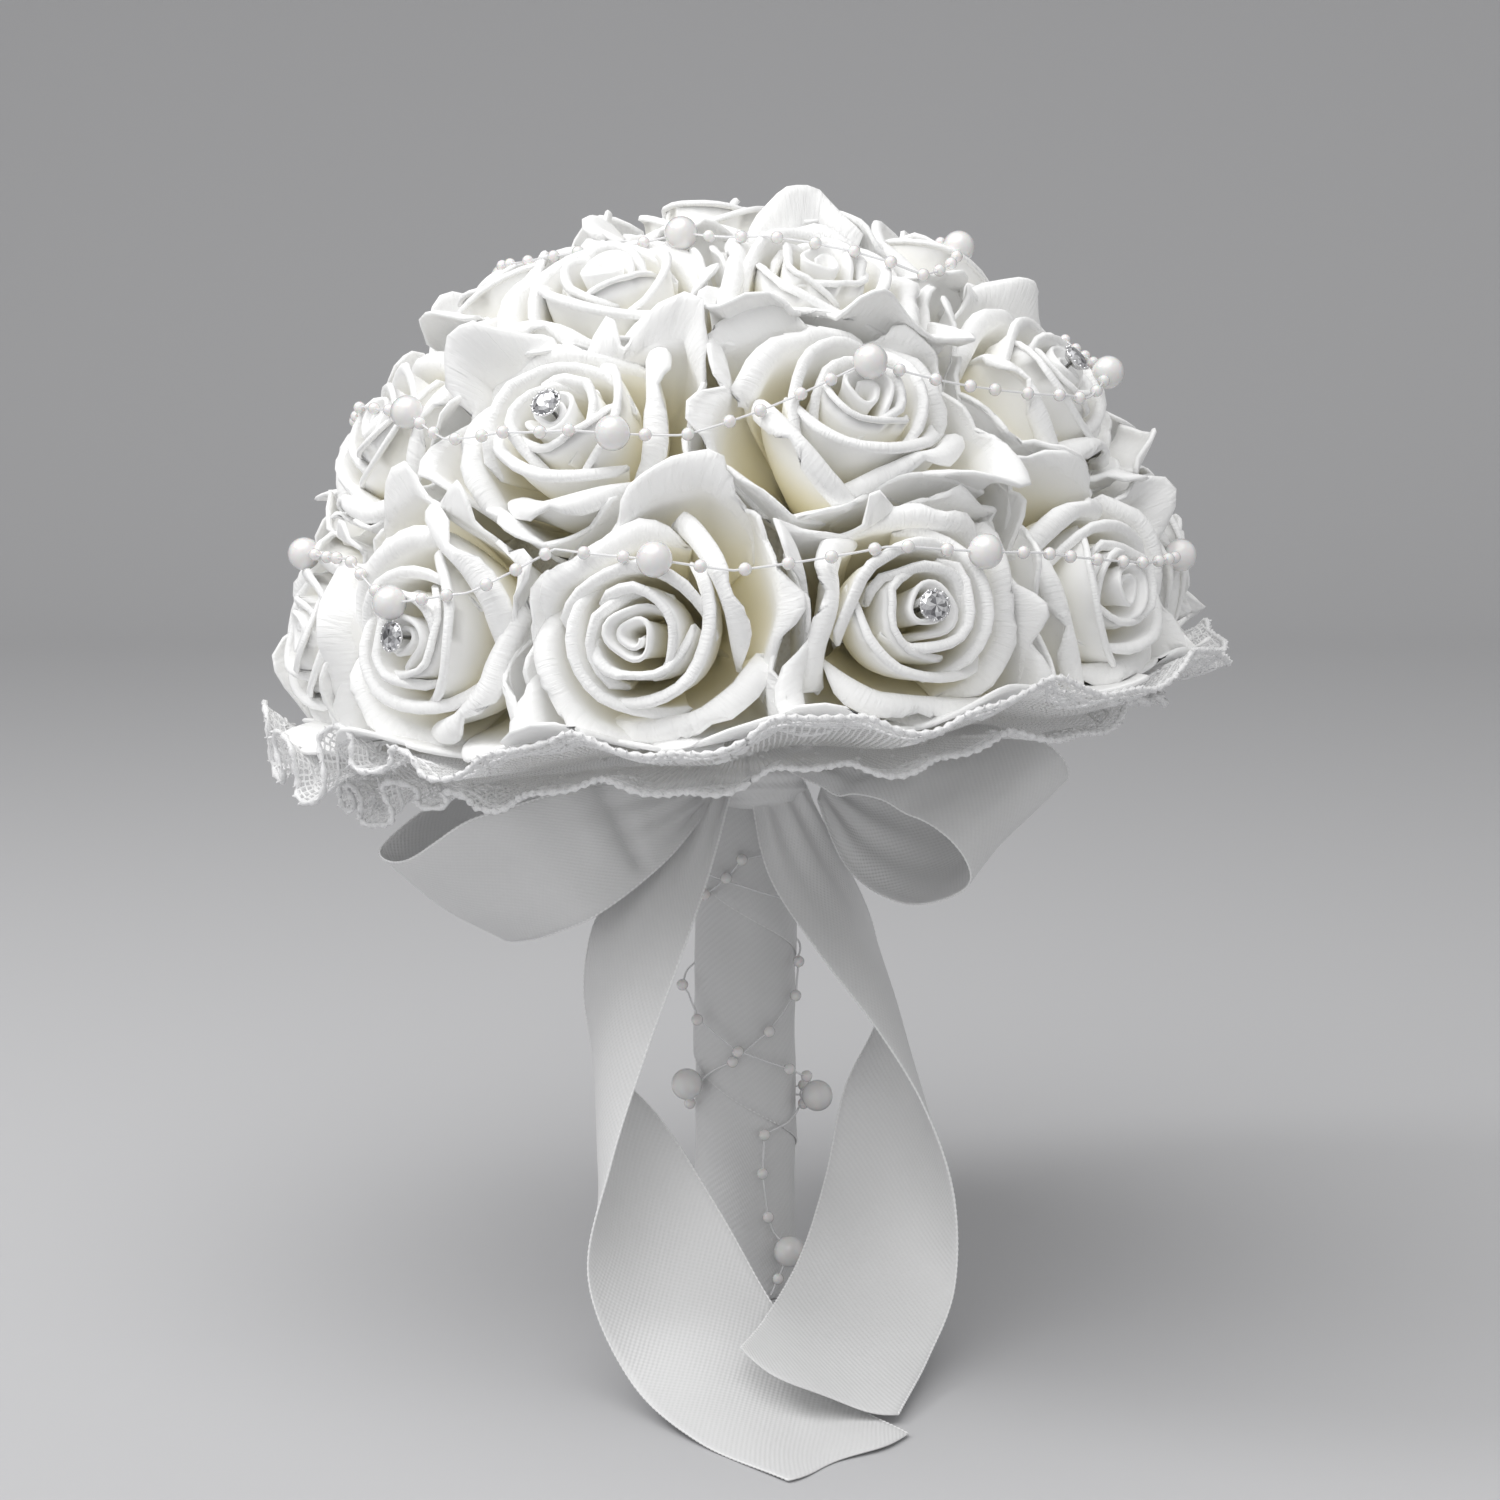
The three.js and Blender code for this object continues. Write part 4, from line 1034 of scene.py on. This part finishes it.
def satin_ribbon(name, rows, points, gathers, ends=(True, False), pleats=()):
    """One stretch of the bow's ribbon, gathered at those of its two ends that go into the knot."""
    grid, flats = ribbon_grid(rows, *points)
    normal = unit(np.cross(np.gradient(grid, axis=1), np.gradient(grid, axis=0)))
    along = flats[..., 1]
    u = flats[..., 0] / RIBBON_WIDTH
    reach = along[-1, 0]
    for at_end, from_knot in zip(ends, (along, reach - along)):
        if at_end:
            fold = np.cos(u * gathers * 2 * np.pi + 0.02 * along)
            size = GATHER * np.exp(-((from_knot / GATHERED) ** 2)) * np.clip(from_knot / 8, 0, 1)
            grid = grid + normal * (size * fold)[..., None]
    soft = 0.5 * np.sin(along / 11 + 5 * u) * np.sin(np.pi * u)
    for start, deep, wide, stop in pleats:
        ridge = np.exp(-(((along - start - 7 * (u - 0.5)) / wide) ** 2))
        soft = soft + deep * ridge * np.clip((stop - u) / 0.2, 0, 1)
    grid = grid + normal * soft[..., None]
    if not ends[1]:
        ahead = unit(np.gradient(grid, axis=0))
        cut = WAVY_CUT * np.sin(9 * u + 1) * np.clip(1 - (reach - along) / 25, 0, 1) ** 2
        grid = grid + ahead * cut[..., None]
    parts = Parts()
    add_sheet(parts, grid, RIBBON_T, flats=flats)
    piece = parts.object(name, satin)
    edges = Parts()
    for k in (0, -1):
        add_selvedge(edges, grid[:, k], SELVEDGE_R)
    edge_piece = edges.object(name + "_selvedge", satin_edge_highlight)
    for each in (piece, edge_piece):
        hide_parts("bow")
    size = (RIBBON_WIDTH * MM, reach * MM)


def full_turn(count):
    return np.linspace(0, 2 * np.pi, count, endpoint=False)


def knot():
    """The knot, with the ribbon folded lengthwise and drawn tight, and the band round the handle."""
    rows, columns = 40, 56
    across = full_turn(columns)
    height = np.linspace(-0.97, 0.97, rows)[:, None]
    round_ = np.sqrt(1 - np.abs(height) ** 2.6)
    pleat = 1 + 0.045 * np.sin(9 * height * np.pi / 2 + 0.7 * np.sin(across))
    grid = around(round_ * pleat, across, height) * KNOT_SIZE + KNOT_CENTRE
    parts = Parts()
    parts.add(grid, grid_faces(rows, columns, 0, True), stacked(across[None] * 12, height * 8))
    turn = full_turn(72)
    height = np.linspace(*BAND_HEIGHTS, 22)[:, None]
    fold = 0.3 * np.sin((height - BAND_HEIGHTS[0]) * 2.2 + 0.5 * np.sin(2 * turn))
    band = from_front(BAND_R + fold, turn, height)
    add_sheet(parts, band, RIBBON_T, flats=stacked(turn[None] * BAND_R, height), wrap=True)
    piece = parts.object("bow_knot", satin)
    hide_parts("bow")


def handle_wrap():
    """A satin ribbon wound up the handle, each turn's lower edge over the turn below."""
    width = WRAP_PITCH + WRAP_OVERLAP
    turns = (WRAP_TOP + width) / WRAP_PITCH
    length = int(turns * 60)
    first = (WRAP_SEAM % WRAP_PITCH) / WRAP_PITCH
    azimuth = (first - np.linspace(0, turns, length)) * 2 * np.pi
    climb = WRAP_SEAM % WRAP_PITCH - azimuth / (2 * np.pi) * WRAP_PITCH - width
    azimuth = azimuth[:, None]
    u = np.linspace(0, 1, 20)
    z = climb[:, None] + u[None] * width
    under = 0.5 * np.clip(u * 2, 0, 1)[None]
    tucked = np.clip((1.5 - z) / 1.5, 0, 1)
    radius = HANDLE_R - 0.1 - under + 0.12 * np.sin(z / 3.1 + azimuth) - 0.5 * tucked**2
    grid = from_front(radius, azimuth, np.clip(z, 0.25, WRAP_TOP))
    parts = Parts()
    add_sheet(parts, grid, WRAP_T, flats=stacked(u[None] * WRAP_WIDTH, azimuth * -HANDLE_R * 1.15))
    piece = parts.object("handle_satin", satin)
    shown = (z[:, 0] > 1) & (z[:, 0] < WRAP_TOP - 1)
    edges = Parts()
    add_selvedge(edges, grid[shown, 0], 0.2)
    edge_piece = edges.object("handle_satin_selvedge", satin_edge_highlight)
    end = Parts()
    turn = full_turn(96)
    spoke = np.linspace(0.5, HANDLE_R - 0.5, 14)[:, None]
    pleats = 0.35 + 0.3 * np.abs(np.sin(9 * turn + 0.25 * spoke)) * np.clip(1 - spoke / HANDLE_R, 0, 1)
    disc = from_front(spoke, turn, pleats)
    add_sheet(end, disc, WRAP_T, flats=stacked(spoke, turn * 10), wrap=True)
    end_piece = end.object("handle_end_satin", satin)
    for each in (piece, edge_piece, end_piece):
        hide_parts("handle_wrap")


satin_ribbon("bow_left_tail", LEFT_TAIL, (150, 26), 3)
satin_ribbon("bow_right_tail", RIGHT_TAIL, (150, 26), 3)
satin_ribbon("bow_left_loop", LEFT_LOOP, (130, 24), 3.5, (True, True), LEFT_PLEATS)
satin_ribbon("bow_right_loop", RIGHT_LOOP, (120, 24), 3.5, (True, True), RIGHT_PLEATS)
knot()
handle_wrap()


# Lace collar

RUFFLED = 34  # width of the strip along the free edge that is ruffled
HEM = 17  # width of the strip that is folded at the left side
BRAID_POINTS = 900
BRAIDS = [(1.0, 0.72), (0.96, 0.35)]  # share of the way out, radius
EDGE_STITCHES = 320
SPRIG_LEAVES = 9
STEM_STEPS = 14
STEM_R = 0.36
DOTS = 120


def lace_points(lace, radius, azimuth):
    """Points of a lace layer, with small ruffles along its free edge and deep folds at its left side."""
    outer = lace["radius"]
    loose = np.clip((radius - outer + RUFFLED) / RUFFLED, 0, 1) ** 1.5
    hem = np.clip((radius - outer + HEM) / HEM, 0, 1)
    side = np.exp(-(((azimuth - FOLD_SIDE) / 0.52) ** 4)) * hem**1.3
    wave = 31 * azimuth + 1.5 * np.sin(3 * azimuth)
    fold = FOLDS * azimuth + 0.7 * np.sin(9 * azimuth)
    z = lace_height(lace, radius, azimuth) + loose * (0.9 * np.sin(wave) - 0.5)
    z = z + side * (lace["up"] * hem**2 * (1 + np.cos(fold)) / 2 - lace["down"] * (1 - np.cos(fold)) / 2)
    swing = loose * 0.8 * np.cos(wave) + 4.6 * side * np.sin(2 * fold)
    return from_front(radius, azimuth + swing / outer, z)


def scalloped(lace, share, azimuth):
    """The radius at a share of the way out to the scalloped edge."""
    scallop = SCALLOP * np.abs(np.sin(lace["scallops"] * azimuth / 2)) ** 0.7 - SCALLOP
    return LACE_INNER_R + (lace["radius"] - LACE_INNER_R) * share + scallop * share**6


def add_leaf(parts, place, tangent, normal, length, width):
    """A satin-stitched leaf: a small raised lens."""
    side = np.cross(normal, tangent)
    t = np.linspace(0, 1, 5)
    half = width / 2 * np.sin(np.pi * np.clip(t, 0.06, 0.94)) ** 0.8
    spine = place + tangent * (length * t)[:, None]
    high = 0.45 * np.sin(np.pi * np.clip(t, 0.1, 0.9))[:, None] * normal
    out = side * half[:, None]
    grid = np.stack([spine - out, spine + high, spine + out, spine - high], 1)
    parts.add(grid, grid_faces(len(t), 4, 0, True))


def frame_at(lace, out, angle):
    """A point of a lace layer, and the directions along its edge, outwards and up from it."""
    nudge = 0.01
    spot, along, outwards = to_world(
        lace_points(lace, np.array([out, out, out + 1]), np.array([angle, angle + nudge, angle]))
    )
    tangent = unit(along - spot)
    outward = unit(outwards - spot)
    normal = unit(np.cross(tangent, outward))
    return spot, tangent, outward, normal * np.sign(normal[2])


def add_sprig(work, lace, draw, centre):
    """An embroidered flower with a leafy stem at one side."""
    out = lace["radius"] - draw.uniform(5, 9)
    heading = draw.uniform(-0.5, 0.5)
    spot, tangent, outward, normal = frame_at(lace, out, centre)
    for leaf in range(SPRIG_LEAVES):
        turn = heading + leaf * 2 * np.pi / SPRIG_LEAVES
        way = tangent * math.cos(turn) + outward * math.sin(turn)
        add_leaf(work, spot + way * 0.7, way, normal, draw.uniform(3.2, 5), 1.2)
    direction = draw.choice([-1, 1])
    stem = [
        frame_at(lace, out + 3.2 * math.sin(step * 0.45), centre + direction * (4 + step * 1.3) / out)
        for step in range(STEM_STEPS)
    ]
    add_tube(work, np.array([spot for spot, *_ in stem]), STEM_R, 5)
    for spot, tangent, outward, normal in stem[1::2]:
        for side in (-1, 1):
            way = unit(tangent * direction + outward * side * 1.1)
            add_leaf(work, spot, way, normal, draw.uniform(1.8, 2.8), 0.9)


def lace_layer(name, lace):
    """A layer of the collar: a net with a braided, stitched edge, sprigs near it and dots further in."""
    outer = lace["radius"]
    azimuth = full_turn(400)[None]
    radius = scalloped(lace, np.linspace(0, 1, 24)[:, None] ** 0.8, azimuth)
    grid = to_world(lace_points(lace, radius, azimuth))
    sheet_parts = Parts()
    add_sheet(sheet_parts, grid, LACE_T, flats=stacked(azimuth * outer * 0.8, radius), wrap=True)
    sheet_piece = sheet_parts.object(f"lace_{name}_net", net)
    work = Parts()
    fine = full_turn(BRAID_POINTS)
    for share, thick in BRAIDS:
        path = to_world(lace_points(lace, scalloped(lace, share, fine), fine))
        twist = thick * (1 + 0.4 * np.sin(np.arange(BRAID_POINTS) * 1.9))
        add_tube(work, path, twist, 5, closed=True)
    draw = np.random.default_rng(lace["seed"])
    for k in range(EDGE_STITCHES):
        angle = 2 * np.pi * (k + draw.uniform(-0.3, 0.3)) / EDGE_STITCHES
        spot, tangent, outward, normal = frame_at(lace, float(scalloped(lace, 1.0, angle)), angle)
        way = unit(outward + tangent * draw.uniform(-0.9, 0.9) + normal * draw.uniform(-0.4, 0.6))
        add_leaf(work, spot, way, normal, draw.uniform(0.9, 1.7), 0.5)
    for k in range(lace["sprigs"]):
        add_sprig(work, lace, draw, 2 * np.pi * (k + draw.uniform(-0.2, 0.2)) / lace["sprigs"])
    for _ in range(DOTS):
        angle = draw.uniform(0, 2 * np.pi)
        out = outer - 18 - 40 * draw.uniform(0, 1)
        spot, tangent, outward, normal = frame_at(lace, out, angle)
        add_leaf(work, spot, unit(tangent + outward * draw.uniform(-1, 1)), normal, 1.4, 0.9)
    work_piece = work.object(f"lace_{name}_embroidery", thread)
    for piece in (sheet_piece, work_piece):
        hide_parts("lace_" + name)


for name, lace in LACES.items():
    lace_layer(name, lace)

plastic = grained_material("holder_plastic", (0.88, 0.88, 0.86), 0.4, (1.2, 2.0), 0.05)
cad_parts["foam_core"].material_slots[0].material = core_material()
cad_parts["holder"].material_slots[0].material = plastic


# Stage, lights and camera


def stage():
    """A pale floor that curves up into a pale wall, in metres."""
    back, bend, high, reach = 1.6, 0.8, 3.0, 12.0
    turn = np.linspace(0, np.pi / 2, 24)
    rise = zip(back + bend * np.sin(turn), bend * (1 - np.cos(turn)))
    curve = [(-reach, 0.0), *rise, (back + bend, high)]
    grid = np.array([[(x, y, z) for x in (-reach, reach)] for y, z in curve])
    mesh = bpy.data.meshes.new("floor")
    mesh.from_pydata(grid.reshape(-1, 3).tolist(), [], grid_faces(len(curve), 2).tolist())
    mesh.shade_smooth()
    mesh.materials.append(Nodes("floor_paper", (0.5, 0.5, 0.51), 0.9).material)
    new_object("floor", mesh)


def area_light(name, place, size, power):
    light = bpy.data.lights.new(name, "AREA")
    light.shape = "DISK"
    light.size = size
    light.energy = power
    holder = new_object(name, light)
    holder.location = place
    holder.rotation_euler = (Vector(LIT_POINT) - Vector(place)).to_track_quat("-Z", "Y").to_euler()


def camera():
    data = bpy.data.cameras.new("camera")
    data.lens = 76.8
    data.sensor_width = 36
    holder = new_object("camera", data)
    holder.location = CAMERA_PLACE
    holder.rotation_euler = (math.pi / 2 - CAMERA_PITCH, 0, 0)
    bpy.context.scene.camera = holder


def world_light(strength):
    world = bpy.data.worlds.new("studio")
    world.use_nodes = True
    background = world.node_tree.nodes["Background"]
    background.inputs["Color"].default_value = (1, 1, 1, 1)
    background.inputs["Strength"].default_value = strength
    bpy.context.scene.world = world


stage()
area_light("key", (-0.85, -0.1, 0.95), 0.3, 2.8)
area_light("softbox", (-0.25, -0.4, 1.25), 1.6, 11.5)
area_light("fill", (-0.8, -1.2, 0.5), 1.0, 0.8)
world_light(0.52)
camera()
bpy.context.scene.view_settings.view_transform = "Standard"
bpy.context.scene.view_settings.gamma = 1.1
bpy.context.scene.cycles.diffuse_bounces = 8
